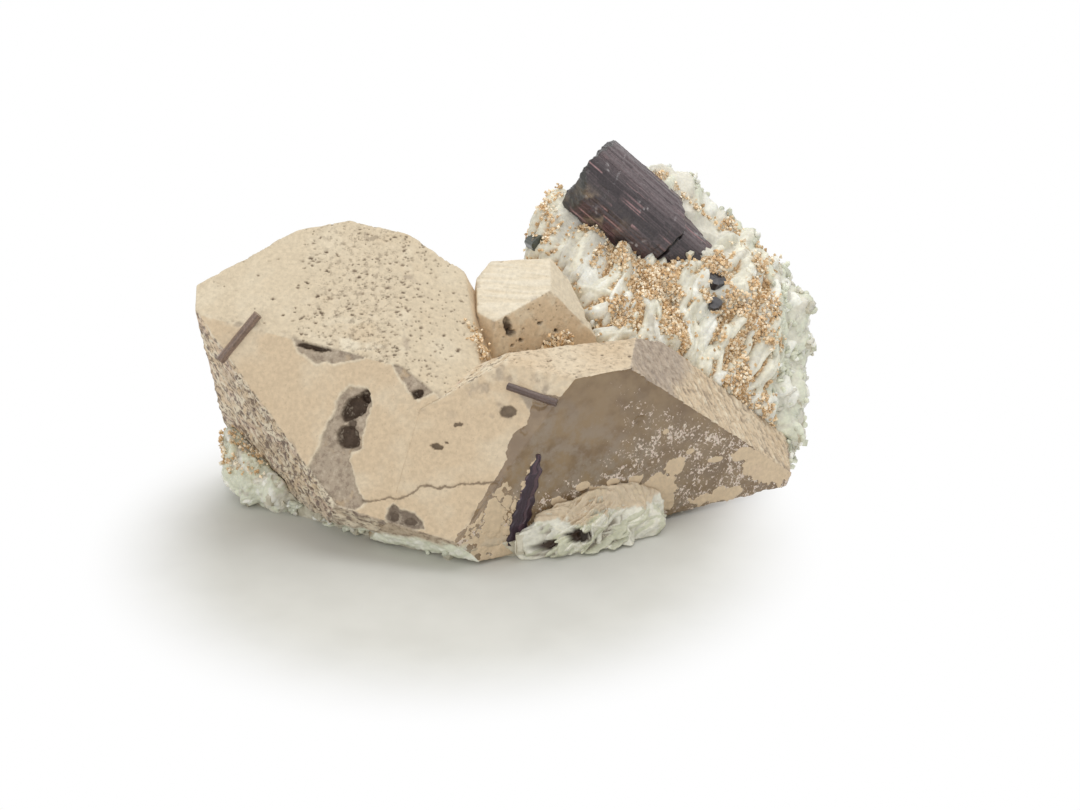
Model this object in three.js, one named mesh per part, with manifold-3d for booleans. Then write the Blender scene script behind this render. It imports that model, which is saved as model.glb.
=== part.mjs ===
// A matrix specimen of tourmalinated quartz, in millimetres, +Z up.
// Three quartz crystals that grew into one another stand on a bed of albite
// (the bladed kind, cleavelandite). A broken tourmaline prism lies across the
// albite mass behind them and smaller tourmalines sit on and in the faces.
//
// Directions are given the way a mineral is described on the table: azimuth 0
// faces the viewer (-Y) and grows toward the viewer's right (+X), elevation
// grows upward. A crystal is the space inside all of its faces, and each face
// is [azimuth, elevation, reach], where reach is its distance in mm from the
// crystal's centre.
import * as THREE from 'three';
import { ConvexGeometry } from 'three/addons/geometries/ConvexGeometry.js';
import { mergeVertices } from 'three/addons/utils/BufferGeometryUtils.js';
import Module from 'manifold-3d';

const wasm = await Module();
wasm.setup();
const { Manifold } = wasm;

// The bed is centred on the origin by this shift, applied to every centre.
const SHIFT = [-0.9, -4.35, 0];
const GROWTH_GAP = 0.12;      // open hairline left between two minerals
const LUMP_DETAIL = 2;         // edge splits of the ball that a hole or lump starts from
const MERGE = 1e-5;           // corners closer than this are one corner

const rad = (degrees) => (degrees * Math.PI) / 180;
const add = (a, b, k = 1) => [a[0] + b[0] * k, a[1] + b[1] * k, a[2] + b[2] * k];
const dot = (a, b) => a[0] * b[0] + a[1] * b[1] + a[2] * b[2];
const cross = (a, b) => [
  a[1] * b[2] - a[2] * b[1],
  a[2] * b[0] - a[0] * b[2],
  a[0] * b[1] - a[1] * b[0],
];
const unit = (a) => {
  const size = Math.hypot(...a);
  return a.map((value) => value / size);
};

// Outward direction of a face from its azimuth and elevation.
function facing(azimuth, elevation) {
  const a = rad(azimuth);
  const e = rad(elevation);
  return [Math.sin(a) * Math.cos(e), -Math.cos(a) * Math.cos(e), Math.sin(e)];
}

// A closed geometry as a solid that can be joined and cut.
function solidOf(geometry) {
  const bare = geometry.clone();
  bare.deleteAttribute('normal');
  bare.deleteAttribute('uv');
  const whole = mergeVertices(bare, MERGE);
  return new Manifold(new wasm.Mesh({
    numProp: 3,
    vertProperties: new Float32Array(whole.getAttribute('position').array),
    triVerts: new Uint32Array(whole.index.array),
  }));
}

// The convex solid drawn tight over a list of points.
function hullOf(points) {
  return new ConvexGeometry(points.map((point) => new THREE.Vector3(...point)));
}

// An outline of [x, y] points carried straight up from z = 0.
function raised(outline, height) {
  const shape = new THREE.Shape(outline.map(([x, y]) => new THREE.Vector2(x, y)));
  return new THREE.ExtrudeGeometry(shape, { depth: height, steps: 1, bevelEnabled: false });
}

// Matrix with the given directions as its X, Y and Z and `at` as its place.
function frameAt(x, y, z, at) {
  return new THREE.Matrix4()
    .makeBasis(new THREE.Vector3(...x), new THREE.Vector3(...y), new THREE.Vector3(...z))
    .setPosition(...at);
}

// A repeatable stream of numbers from 0 to 1, for natural unevenness.
function unevenness(seed) {
  let state = seed >>> 0;
  return () => {
    state = (Math.imul(state, 1664525) + 1013904223) >>> 0;
    return state / 4294967296;
  };
}

// A point of one face: `across` mm to the viewer's right and `up` mm along it
// from the foot of the crystal's centre, `out` mm off the face.
function onFace(crystal, name, across, up, out = 0) {
  const [azimuth, elevation, reach] = crystal.faces[name];
  const normal = facing(azimuth, elevation);
  const right = [Math.cos(rad(azimuth)), Math.sin(rad(azimuth)), 0];
  const rise = cross(normal, right);
  const foot = add(add(crystal.centre, SHIFT), normal, reach + out);
  return add(add(foot, right, across), rise, up);
}

// The matrix that stands a local frame on a face, +Z out of it.
function faceFrame(crystal, name, across, up, out = 0) {
  const [azimuth, elevation] = crystal.faces[name];
  const normal = facing(azimuth, elevation);
  const right = [Math.cos(rad(azimuth)), Math.sin(rad(azimuth)), 0];
  return frameAt(right, cross(normal, right), normal, onFace(crystal, name, across, up, out));
}

// Closed solid inside every half-space: the hull of the points where three of
// the planes meet that lie inside all the others.
function insideFaces(centre, faces, grow = 0) {
  const planes = Object.values(faces).map(([azimuth, elevation, reach]) => {
    const normal = facing(azimuth, elevation);
    return { normal, distance: dot(normal, centre) + reach + grow };
  });
  const corners = [];
  for (let i = 0; i < planes.length; i += 1) {
    for (let j = i + 1; j < planes.length; j += 1) {
      for (let k = j + 1; k < planes.length; k += 1) {
        const point = meet(planes[i], planes[j], planes[k]);
        if (!point) continue;
        const inside = planes.every((plane) => dot(plane.normal, point) < plane.distance + 1e-6);
        const known = corners.some((corner) => Math.hypot(...add(corner, point, -1)) < 1e-4);
        if (inside && !known) corners.push(point);
      }
    }
  }
  return hullOf(corners);
}

// The one point shared by three planes, or null when they run parallel.
function meet(p, q, r) {
  const qr = cross(q.normal, r.normal);
  const volume = dot(p.normal, qr);
  if (Math.abs(volume) < 1e-7) return null;
  const rp = cross(r.normal, p.normal);
  const pq = cross(p.normal, q.normal);
  return [0, 1, 2].map(
    (axis) => (p.distance * qr[axis] + q.distance * rp[axis] + r.distance * pq[axis]) / volume,
  );
}

function growCrystal(crystal, grow = 0) {
  return solidOf(insideFaces(add(crystal.centre, SHIFT), crystal.faces, grow));
}

// Left crystal: the big tilted tabular one with the long chipped front face.
const LEFT = {
  centre: [-36, -16, 30],
  faces: {
    front: [-11.0, 23.0, 15.2],
    pitted_top: [-1.7, 54.4, 17.8],
    right_top: [24.7, 51.9, 19.9],
    lower_left: [-55.0, -19.4, 22.6],
    under_front: [-24.5, -39.2, 29.1],
    left_end: [-87.7, -2.6, 37.4],
    back_left: [-144.5, 15.0, 33.3],
    back_shoulder: [-164.6, 35.0, 38.6],
    back_top: [160.3, 32.0, 35.1],
    back_right: [153.8, 12.0, 26.8],
    shared_smoky: [28.5, -5.9, 40.0],
    grown_in: [80.0, 25.0, 30.0],
    seat: [180.0, -90.0, 26.0],
  },
};

// Right crystal: the dark smoky face and the long bevel running to its tip.
const RIGHT = {
  centre: [22, -14, 22],
  faces: {
    front: [-11.0, 23.0, 30.3],
    smoky: [28.5, -5.9, 13.4],
    shoulder: [-9.9, 26.0, 30.4],
    top: [30.5, 77.8, 23.1],
    bevel: [73.5, 40.6, 19.1],
    left_crest: [-95.0, 60.0, 31.5],
    behind_crest: [-160.4, 56.4, 16.9],
    back: [169.3, 35.0, 18.7],
    back_low: [178.0, 8.0, 27.0],
    tip: [92.4, -13.8, 48.1],
    under_front: [-24.5, -39.2, 44.1],
    grown_in: [-80.0, 20.0, 48.0],
    seat: [180.0, -90.0, 21.0],
  },
};

// Middle crystal: the small pale one in the valley between the other two.
const MIDDLE = {
  centre: [2, -5, 36],
  faces: {
    top: [-14.1, 58.6, 15.7],
    front: [25.9, -2.2, 4.4],
    right_bevel: [69.6, 31.5, 14.4],
    left_low: [-37.2, 1.7, 12.0],
    left: [-82.4, 8.0, 14.0],
    left_back: [-123.8, 12.0, 15.6],
    back: [175.7, 20.0, 13.8],
    back_right: [127.0, 10.0, 15.5],
    seat: [180.0, -90.0, 21.0],
  },
};

// A broken hollow or lump: a ball of few facets, every corner drawn in by its
// own share, then stretched to the half-widths in `size`.
function lump(size, seed, detail = LUMP_DETAIL) {
  const next = unevenness(seed);
  const ball = new THREE.OctahedronGeometry(1, detail);
  ball.deleteAttribute('normal');
  ball.deleteAttribute('uv');
  const whole = mergeVertices(ball, MERGE);
  const corners = whole.getAttribute('position');
  for (let index = 0; index < corners.count; index += 1) {
    const share = 0.78 + 0.4 * next();
    corners.setXYZ(
      index,
      corners.getX(index) * size[0] * share,
      corners.getY(index) * size[1] * share,
      corners.getZ(index) * size[2] * share,
    );
  }
  return whole;
}

// Shallow flake broken out of a face: an outline in face mm, sunk `depth`.
function flake(crystal, name, outline, depth) {
  const plate = raised(outline, depth + 1).translate(0, 0, -depth);
  return solidOf(plate.applyMatrix4(faceFrame(crystal, name, 0, 0)));
}

// Outlines in face mm (across, up) of what is broken out of the front face.
const MAIN_CHIP = [
  [0.4, 1.9], [-1.8, -0.1], [-2.7, -3.6], [-4.3, -7.8], [-6.2, -13.6], [-7.6, -17.4],
  [-3.8, -23.2], [-1.2, -25.5], [3.7, -25.5], [5.9, -23.8], [3.8, -20.5], [2.8, -17.7],
  [1.6, -14.4], [4.4, -11.2], [4.5, -8.9], [4.8, -4.4], [6.0, -0.9], [4.6, 1.5],
];
const EDGE_CHIP = [
  [-14.1, 11.8], [-11.8, 9.0], [-7.3, 6.3], [-3.4, 7.3], [3.1, 8.6], [3.4, 10.2], [-3.6, 11.4], [-14, 14.4],
];
const CORNER_CHIP = [
  [10.0, 7.3], [14.1, 2.1], [17.0, 0.1], [19.7, 2.1], [18.6, 4.6], [13.4, 8.4], [10.4, 9.0],
];
const LOW_PATCH = [
  [11.5, -26.9], [15.2, -29.8], [20.0, -28.9], [19.6, -27.4], [18.1, -25.7], [14.3, -24.6], [12.6, -23.7], [11.6, -24.9],
];

// Holes gone deep into the faces: [crystal, face, across, up, size mm].
const HOLES = [
  [LEFT, 'front', 1.8, -2.4, [3.2, 2.2, 2.6], 20],
  [LEFT, 'front', 3.9, -0.3, [1.5, 1.4, 1.8], 35],
  [LEFT, 'front', 0.8, -9.8, [3.0, 2.6, 2.2], -40],
  [LEFT, 'front', -8.3, 10.1, [4.0, 1.1, 2.0], -6],
  [LEFT, 'front', 16.2, 1.4, [1.6, 1.1, 1.6], 0],
  [LEFT, 'front', 21.5, -10.1, [1.5, 0.6, 1.2], 0],
  [LEFT, 'front', 37.6, -0.8, [1.7, 1.8, 1.1], 0],
  [LEFT, 'front', 13.2, -26.8, [1.4, 1.4, 1.4], 0],
  [LEFT, 'front', 17.6, -27.5, [1.6, 1.0, 1.2], 0],
  [MIDDLE, 'front', 1.2, 3.6, [1.1, 2.0, 1.8], 25],
  [MIDDLE, 'front', 12.6, -3.4, [1.3, 1.2, 1.4], 0],
  [RIGHT, 'smoky', -0.8, 8.2, [1.4, 1.2, 0.9], 15],
];

// Etch pits on a face, dense toward one corner, sunk into a rectangle of it.
function etchPits(crystal, name, box, count, seed, size = 0.85) {
  const next = unevenness(seed);
  const pits = [];
  for (let index = 0; index < count; index += 1) {
    const across = box[0] + (box[1] - box[0]) * Math.sqrt(next());
    const up = box[2] + (box[3] - box[2]) * next();
    const wide = size * (0.7 + 0.8 * next());
    const pit = lump([wide * 1.5, wide * 0.6, 0.7], seed + index * 7, 0);
    pits.push(solidOf(pit.applyMatrix4(faceFrame(crystal, name, across, up, 0.1))));
  }
  return pits;
}

// The largest body of a solid; crumbs and closed bubbles are left out.
function oneBody(solid) {
  return solid.decompose().sort((a, b) => b.volume() - a.volume())[0];
}

function quartzCluster() {
  const solid = Manifold.union([growCrystal(LEFT), growCrystal(RIGHT), growCrystal(MIDDLE)]);
  const cuts = [
    flake(LEFT, 'front', MAIN_CHIP, 0.9),
    flake(LEFT, 'front', EDGE_CHIP, 0.7),
    flake(LEFT, 'front', CORNER_CHIP, 0.7),
    flake(LEFT, 'front', LOW_PATCH, 0.8),
  ];
  HOLES.forEach(([crystal, name, across, up, size, turn], index) => {
    const hollow = lump(size, 90 + index).rotateZ(rad(turn));
    cuts.push(solidOf(hollow.applyMatrix4(faceFrame(crystal, name, across, up, -0.5))));
  });
  cuts.push(
    ...etchPits(LEFT, 'pitted_top', [-19, 8, -2, 18], 26, 11),
    ...etchPits(LEFT, 'pitted_top', [-16, 7, 18, 35], 16, 311),
    ...etchPits(LEFT, 'lower_left', [-12, 12, -16, 12], 14, 711, 1.0),
    ...etchPits(MIDDLE, 'front', [1, 12, -5, 3], 6, 911, 0.7),
  );
  return solid.subtract(Manifold.union(cuts));
}

// Points the albite mass and bed are drawn over, before the blades.
const MASS_BEHIND = [
  [3, 18, 55], [4, 24, 62], [8, 28, 65], [20, 36, 67], [33, 44, 69], [40, 47, 65.5],
  [47, 47, 63], [57, 44, 52], [64, 41, 45], [0, 22, 28], [10, 42, 50], [30, 52, 42],
  [50, 52, 36], [66, 45, 33], [17, 9, 45], [28, 15, 46], [-4, 24, 0], [8, 48, 0],
  [34, 54, 0], [62, 49, 0], [12, 8, 0], [70, 36, 0],
];
const MASS_RIGHT = [
  [39, 14, 43], [56, 14, 32.5], [56, 43, 51.5], [69, 37, 42], [73, 32, 36], [73, 28, 27],
  [70.5, 24, 20], [67.5, 13, 8], [66, 12, 0], [73.5, 33, 0], [66, 47, 0], [36, 10, 0],
  [64, 41, 45], [40, 40, 55], [29, 20, 49.5], [42, 21, 49.5], [51, 23, 47], [48, 17, 42.5],
];
const MASS_FRONT = [
  [19, 0, 37], [30, 0, 37], [37, 13, 41], [17, 8, 44], [56, 14, 31], [60, 8, 16],
  [66, 13, 8], [20, 0, 0], [60, 6, 0], [40, 20, 0], [20, 20, 0], [30, 19, 48.5],
];
const BED_LEFT = [
  [-63, -11, 0], [-54, -15, 0], [-38, -27, 0], [-24, -35.5, 0], [-10, -40, 0], [4, -38.5, 0],
  [14, -34, 0], [26, -26, 0], [30, 20, 0], [30, 50, 0], [0, 46, 0], [-30, 34, 0], [-58, 20, 0],
  [-68, 2, 0], [-66, -9, 5], [-54, -14.5, 4.5], [-37, -27.5, 4.5], [-24, -36.5, 5], [-10, -42.5, 4.5],
  [4, -40, 4.5], [14, -36, 5], [26, -27, 4], [28, 50, 14], [-2, 42, 12], [-32, 32, 8], [-60, 16, 8],
  [-70, -2, 8],
];
const BED_RIGHT = [
  [12, -26, 0], [26, -22.5, 0], [42, -12, 0], [56, -4, 0], [65, 3, 0], [69, 12, 0], [62, 40, 0],
  [30, 52, 0], [10, 30, 0], [12, -27, 3], [26, -23, 3], [42, -13, 3], [56, -4.5, 3], [66, 3, 4],
  [69, 13, 8], [60, 40, 12], [28, 50, 14],
];
const LUMP_LEFT = [
  [-70, -8, 13], [-72, -2, 15], [-70, 5, 15], [-62, 4, 14], [-60, -14, 9], [-66, -13, 7],
  [-56, -18, 3], [-70, -9, 4], [-68, -8, 0], [-58, -16, 0], [-70, 2, 0], [-58, 2, 0],
];
const LUMP_LOW = [
  [4, -38, 8], [10, -37, 10.5], [17, -33, 11.5], [25, -28, 12], [31, -24, 9], [33.5, -25, 4],
  [31, -28.5, 0], [16, -37, 0], [5, -39.5, 0], [2, -37, 2], [30, -20, 0], [6, -30, 0], [10, -30, 9],
];

const MOUND_BEHIND = [
  [-52, 22, 0], [-34, 36, 0], [-8, 48, 0], [14, 50, 0], [16, 20, 0], [-30, 6, 0],
  [-50, 19, 13], [-36, 31, 17], [-14, 41, 22], [6, 44, 30], [12, 24, 36], [-14, 17, 33], [-34, 18, 24],
];

function massOf(points) {
  return solidOf(hullOf(points.map((point) => add(point, SHIFT))));
}

// One cleavelandite blade: a thin plate, thinner at its rounded tip.
function blade(width, height, thickness) {
  const w = width / 2;
  const t = thickness / 2;
  return hullOf([
    [-w * 0.7, -t, -2.2], [w * 0.7, -t, -2.2], [-w * 0.7, t, -2.2], [w * 0.7, t, -2.2],
    [-w, -t, height * 0.55], [w, -t, height * 0.62], [-w, t, height * 0.55], [w, t, height * 0.62],
    [-w * 0.45, -t * 0.6, height], [w * 0.5, -t * 0.6, height * 0.94],
    [-w * 0.45, t * 0.6, height], [w * 0.5, t * 0.6, height * 0.94],
  ]);
}

// Stand a geometry at a point, its +Z along `direction`, turned `spin` degrees.
function stand(shape, at, direction, spin) {
  const z = unit(direction);
  const helper = Math.abs(z[2]) > 0.9 ? [1, 0, 0] : [0, 0, 1];
  const x = unit(cross(helper, z));
  return shape.rotateZ(rad(spin)).applyMatrix4(frameAt(x, cross(z, x), z, at));
}

// Where a straight line from `from` along `along` first meets a solid.
function firstHit(triangles, from, along) {
  let best = null;
  for (const [a, b, c] of triangles) {
    const ab = add(b, a, -1);
    const ac = add(c, a, -1);
    const p = cross(along, ac);
    const size = dot(ab, p);
    if (Math.abs(size) < 1e-9) continue;
    const start = add(from, a, -1);
    const u = dot(start, p) / size;
    const q = cross(start, ab);
    const v = dot(along, q) / size;
    const distance = dot(ac, q) / size;
    if (u < 0 || v < 0 || u + v > 1 || distance < 0) continue;
    if (!best || distance < best.distance) {
      best = { distance, at: add(from, along, distance), normal: unit(cross(ab, ac)) };
    }
  }
  return best;
}

function trianglesOf(solid) {
  const mesh = solid.getMesh();
  const corner = (index) => Array.from(mesh.vertProperties.slice(index * mesh.numProp, index * mesh.numProp + 3));
  const list = [];
  for (let index = 0; index < mesh.triVerts.length; index += 3) {
    list.push([0, 1, 2].map((side) => corner(mesh.triVerts[index + side])));
  }
  return list;
}

// Blades stand in curved rows over the slope, then round the rim and the bed.
function bladesOver(mass) {
  const triangles = trianglesOf(mass);
  const shapes = [];
  const next = unevenness(47);
  const place = (from, along, size, spin, tall = 0.62) => {
    const hit = firstHit(triangles, from, along);
    if (!hit) return;
    const direction = add(hit.normal, [0.5 * (next() - 0.5), 0.5 * (next() - 0.5), 0.25]);
    const shape = blade(size * (1.2 + 0.8 * next()), size * tall * (0.7 + 0.5 * next()), 1.7 + 0.8 * next());
    shapes.push(solidOf(stand(shape, hit.at, direction, spin + 24 * (next() - 0.5))));
  };
  // front slope and valley, in rows that curve with the rise of the mass
  for (let row = 0; row < 10; row += 1) {
    for (let step = 0; step < 9; step += 1) {
      const bend = 3.5 * Math.sin(step * 0.8 + row * 0.9);
      const x = 4 + step * 7.8 + row * 0.8 + 2 * next();
      const y = 0 + row * 5.0 + bend;
      place([x, y, 100], [0, 0, -1], 4.6, 62 + 26 * Math.sin(row * 0.9 + step * 0.5));
    }
  }
  // the right rim, the back and the mound behind the left crystal
  for (let turn = 0; turn < 44; turn += 1) {
    const angle = rad(-62 + turn * 5.7);
    const height = 5 + ((turn * 19) % 47);
    const from = [30 + 110 * Math.cos(angle), 24 + 110 * Math.sin(angle), height];
    place(from, [-Math.cos(angle), -Math.sin(angle), 0], 4.8, 70 * (turn % 3), 0.5);
  }
  // the rim of the bed and the low lumps
  for (let turn = 0; turn < 40; turn += 1) {
    const angle = rad(150 + turn * 5.2);
    const height = 3.4 + ((turn * 7) % 5) * 0.9;
    const from = [130 * Math.cos(angle), 10 + 130 * Math.sin(angle), height];
    place(from, [-Math.cos(angle), -Math.sin(angle), 0], 3.8, 80, 0.5);
  }
  return shapes;
}

// Section of a tourmaline prism: three bulging sides with fine steps for the
// striations.
function tourmalineSection(radius, bulge, ridges, seed, turns = 30) {
  const next = unevenness(seed);
  const outline = [];
  for (let index = 0; index < turns; index += 1) {
    const angle = (index / turns) * Math.PI * 2;
    const threefold = 1 + bulge * Math.cos(3 * angle);
    const ridge = 1 + (ridges / radius) * (index % 2 ? -0.5 : 0.5) * (0.4 + next());
    outline.push([Math.cos(angle) * radius * threefold * ridge, Math.sin(angle) * radius * threefold * ridge]);
  }
  return outline;
}

function rod(radius, length, seed, turns = 12, bulge = 0.07, ridges = 0.12) {
  return raised(tourmalineSection(radius, bulge, ridges, seed, turns), length);
}

// A rod from one point to another; `grow` makes the hollow it sits in.
function rodBetween(a, b, radius, seed, grow = 0) {
  const along = add(b, a, -1);
  const length = Math.hypot(...along) + 2 * grow;
  return solidOf(stand(rod(radius + grow * 1.5, length, seed), add(a, unit(along), -grow), along, 0));
}

// The big tourmaline: its foot is the broken lower right end.
const BIG = {
  upper: [15.4, 31.0, 70.6],
  lower: [46.2, 35.6, 42.6],
  radius: 12.0,
  stepLength: 16,
  thinner: 1.1,               // the lower run is this much thinner
  drop: 0.9,                  // and lies this much lower
};

function bigTourmaline(grow = 0) {
  const foot = add(BIG.lower, SHIFT);
  const head = add(BIG.upper, SHIFT);
  const along = add(head, foot, -1);
  const length = Math.hypot(...along);
  const placed = (shape) => solidOf(stand(shape, foot, along, 0));
  const run = (radius, size) => rod(radius + grow * 2, size + 2 * grow, 3, 30, 0.05, 0.5);
  // lower run, then the full width up past the broken end
  const low = run(BIG.radius - BIG.thinner, BIG.stepLength + 1).translate(0, -BIG.drop, -grow);
  const high = run(BIG.radius, length + 6 - BIG.stepLength).translate(0, 0, BIG.stepLength - grow);
  // the end is one slanting break with a corner knocked off it
  const broken = insideFaces([0, 0, length - 20], {
    slant: [-74.3, 67.6, 18.6],
    knocked: [50.0, 40.0, 21.2],
    back: [160.0, 60.0, 22.5],
    end: [0, -90, 60],
    a: [0, 0, 30], b: [90, 0, 30], c: [180, 0, 30], d: [-90, 0, 30],
  }, grow * 2);
  const prism = placed(low).add(placed(high)).intersect(placed(broken));
  if (grow) return prism;
  const crack = new THREE.BoxGeometry(9, 30, 0.7)
    .rotateY(rad(-12))
    .translate(13.0, 0, BIG.stepLength - 0.5);
  return prism.subtract(placed(crack));
}

// Small tourmalines: [name, foot, head, radius, seed of their striations].
const LITTLE = [
  ['tourmaline_black_upper', [46.6, 21.4, 42.0], [49.0, 17.9, 48.2], 2.2, 21],
  ['tourmaline_black_lower', [48.4, 17.4, 38.0], [48.2, 13.2, 43.4], 1.7, 22],
  ['tourmaline_green', [3.4, 21.6, 56.6], [5.2, 16.8, 57.0], 2.2, 23],
];

function littleTourmaline([, foot, head, radius, seed], grow = 0) {
  return rodBetween(add(foot, SHIFT), add(head, SHIFT), radius, seed, grow);
}

// A rod lying half sunk in a face, from one face point to another.
function rodOnFace(crystal, name, from, to, radius, seed, grow = 0) {
  return rodBetween(onFace(crystal, name, ...from), onFace(crystal, name, ...to), radius, seed, grow);
}

const LEFT_ROD = [LEFT, 'front', [-30.6, 5.8, 0.1], [-22.3, 16.9, 0.5], 1.05, 31];
const SHOULDER_ROD = [LEFT, 'front', [36.8, 4.6, 0.1], [48.2, 1.6, 0.1], 0.85, 32];

// The sliver of tourmaline laid bare in the smoky face, wider toward its foot.
const SLIVER = [
  [-27.3, 5.1], [-30.1, -0.6], [-33.2, -9.5], [-34.4, -17.1], [-31.0, -17.9], [-28.2, -12.0], [-26.2, 0.5],
];

// An outline with every side moved out by `grow`; its corners go anticlockwise.
function widened(outline, grow) {
  const count = outline.length;
  const sides = outline.map(([x, y], index) => {
    const [nextX, nextY] = outline[(index + 1) % count];
    const size = Math.hypot(nextX - x, nextY - y);
    const normal = [(nextY - y) / size, (x - nextX) / size];
    return { normal, distance: normal[0] * x + normal[1] * y + grow };
  });
  return sides.map((side, index) => {
    const before = sides[(index + count - 1) % count];
    const turn = before.normal[0] * side.normal[1] - before.normal[1] * side.normal[0];
    return [
      (before.distance * side.normal[1] - side.distance * before.normal[1]) / turn,
      (side.distance * before.normal[0] - before.distance * side.normal[0]) / turn,
    ];
  });
}

function sliver(grow = 0) {
  const plate = raised(widened(SLIVER, grow), 2.4 + 2 * grow).translate(0, 0, -1.9 - grow);
  return solidOf(plate.applyMatrix4(faceFrame(RIGHT, 'smoky', 0, 0)));
}

const quartz = quartzCluster();
const big = bigTourmaline();
const little = LITTLE.map((row) => [row[0], littleTourmaline(row)]);
const leftRod = rodOnFace(...LEFT_ROD);
const shoulderRod = rodOnFace(...SHOULDER_ROD);
const buried = sliver();

// Hairline copies that the neighbours are cut with.
const quartzSeat = Manifold.union([
  growCrystal(LEFT, GROWTH_GAP), growCrystal(RIGHT, GROWTH_GAP), growCrystal(MIDDLE, GROWTH_GAP),
]);

const massParts = [
  MASS_BEHIND, MASS_RIGHT, MASS_FRONT, MOUND_BEHIND, BED_LEFT, BED_RIGHT, LUMP_LEFT, LUMP_LOW,
];
const mass = Manifold.union(massParts.map(massOf));
const stones = [bigTourmaline(GROWTH_GAP), ...LITTLE.map((row) => littleTourmaline(row, GROWTH_GAP))];
const belowTable = solidOf(new THREE.BoxGeometry(400, 400, 60).translate(0, 0, -30));
let albite = Manifold.union([mass, ...bladesOver(mass)])
  .subtract(belowTable)
  .subtract(quartzSeat)
  .subtract(Manifold.union([...stones, sliver(GROWTH_GAP)]));
albite = oneBody(albite);

const sunk = [rodOnFace(...LEFT_ROD, 0.05), rodOnFace(...SHOULDER_ROD, 0.05), sliver(0.08)];
const cluster = oneBody(quartz.subtract(Manifold.union(sunk)));

function meshOf(name, solid, colour) {
  const data = solid.getMesh();
  const geometry = new THREE.BufferGeometry();
  const positions = new Float32Array((data.vertProperties.length / data.numProp) * 3);
  for (let index = 0; index < positions.length / 3; index += 1) {
    for (let axis = 0; axis < 3; axis += 1) {
      positions[index * 3 + axis] = data.vertProperties[index * data.numProp + axis];
    }
  }
  geometry.setAttribute('position', new THREE.BufferAttribute(positions, 3));
  geometry.setIndex(new THREE.BufferAttribute(new Uint32Array(data.triVerts), 1));
  const mesh = new THREE.Mesh(geometry, new THREE.MeshStandardMaterial({ color: colour }));
  mesh.name = name;
  return mesh;
}

const specimen = new THREE.Group();
specimen.name = 'tourmalinated_quartz';
const nodes = [
  ['quartz_cluster', cluster, 0xc9b292],
  ['albite_matrix', albite, 0xcfccb8],
  ['tourmaline_crystal', big, 0x575050],
  ...little.map(([name, solid]) => [name, solid, 0x2c2a2e]),
  ['tourmaline_left_rod', leftRod, 0x6d5a52],
  ['tourmaline_right_rod', shoulderRod, 0x7a6658],
  ['tourmaline_sliver', buried, 0x2b1a26],
];
for (const [name, solid, colour] of nodes) {
  const box = solid.boundingBox();
  console.log(
    name, 'triangles', solid.numTri(), 'bodies', solid.decompose().length,
    'min', box.min.map((value) => value.toFixed(1)).join(' '),
    'max', box.max.map((value) => value.toFixed(1)).join(' '),
    'volume', solid.volume().toFixed(0),
  );
  specimen.add(meshOf(name, solid, colour));
}
export default specimen;
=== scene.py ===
"""Looks of a tourmalinated quartz specimen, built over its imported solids.

Three quartz crystals with a beige etched skin and one bare smoky face stand
in bladed albite; a broken, striated tourmaline lies across the albite behind.
Lengths inside the classes are millimetres in the frame of the solids and are
turned into metres when a mesh is made.
"""

from __future__ import annotations

import logging
from dataclasses import dataclass, field
from enum import Enum

import bpy
import numpy as np
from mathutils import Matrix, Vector
from mathutils.geometry import delaunay_2d_cdt

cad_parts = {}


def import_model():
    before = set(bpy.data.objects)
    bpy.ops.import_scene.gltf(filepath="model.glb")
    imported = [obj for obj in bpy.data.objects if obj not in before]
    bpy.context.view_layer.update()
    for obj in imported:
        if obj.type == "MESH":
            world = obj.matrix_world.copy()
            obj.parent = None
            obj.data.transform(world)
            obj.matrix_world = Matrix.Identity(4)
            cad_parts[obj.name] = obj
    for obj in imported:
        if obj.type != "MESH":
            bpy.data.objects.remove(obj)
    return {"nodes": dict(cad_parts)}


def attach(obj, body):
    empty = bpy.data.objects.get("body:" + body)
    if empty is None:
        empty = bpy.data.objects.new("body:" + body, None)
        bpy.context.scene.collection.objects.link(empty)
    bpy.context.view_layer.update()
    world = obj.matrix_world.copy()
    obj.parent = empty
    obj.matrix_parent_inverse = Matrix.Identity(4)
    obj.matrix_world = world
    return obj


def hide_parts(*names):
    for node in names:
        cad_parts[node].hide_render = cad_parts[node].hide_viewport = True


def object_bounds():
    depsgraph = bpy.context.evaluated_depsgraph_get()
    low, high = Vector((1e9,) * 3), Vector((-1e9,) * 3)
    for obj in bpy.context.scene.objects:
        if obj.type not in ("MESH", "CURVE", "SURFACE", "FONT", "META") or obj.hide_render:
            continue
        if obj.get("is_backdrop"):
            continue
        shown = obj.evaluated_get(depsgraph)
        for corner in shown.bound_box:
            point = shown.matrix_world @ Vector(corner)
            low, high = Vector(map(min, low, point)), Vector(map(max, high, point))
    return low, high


LOG = logging.getLogger("specimen")
MM = 0.001
SHIFT = np.array([-0.9, -4.35, 0.0])  # the same shift the solids carry
Array = np.ndarray


# Number helpers


def smooth(low: float, high: float, value: Array) -> Array:
    """Soft step: 0 below low, 1 above high, t*t*(3-2t) between them."""
    t = np.clip((value - low) / (high - low), 0.0, 1.0)
    return t * t * (3.0 - 2.0 * t)


def hashed(cells: Array, seed: int) -> Array:
    """Repeatable value from 0 to 1 for every whole-number cell.

    Args:
        cells: whole numbers, shape (..., 3).
        seed: picks another set of values.

    Returns:
        Values from 0 to 1, shape (...).
    """
    c = cells.astype(np.int64)
    h = (c[..., 0] * 73856093) ^ (c[..., 1] * 19349663) ^ (c[..., 2] * 83492791) ^ (seed * 40503 + 977)
    h = (h ^ (h >> 13)) * 1274126177
    h = (h ^ (h >> 16)) * 668265263
    h = h ^ (h >> 15)
    return (h & 0xFFFFFF) / float(0x1000000)


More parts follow.
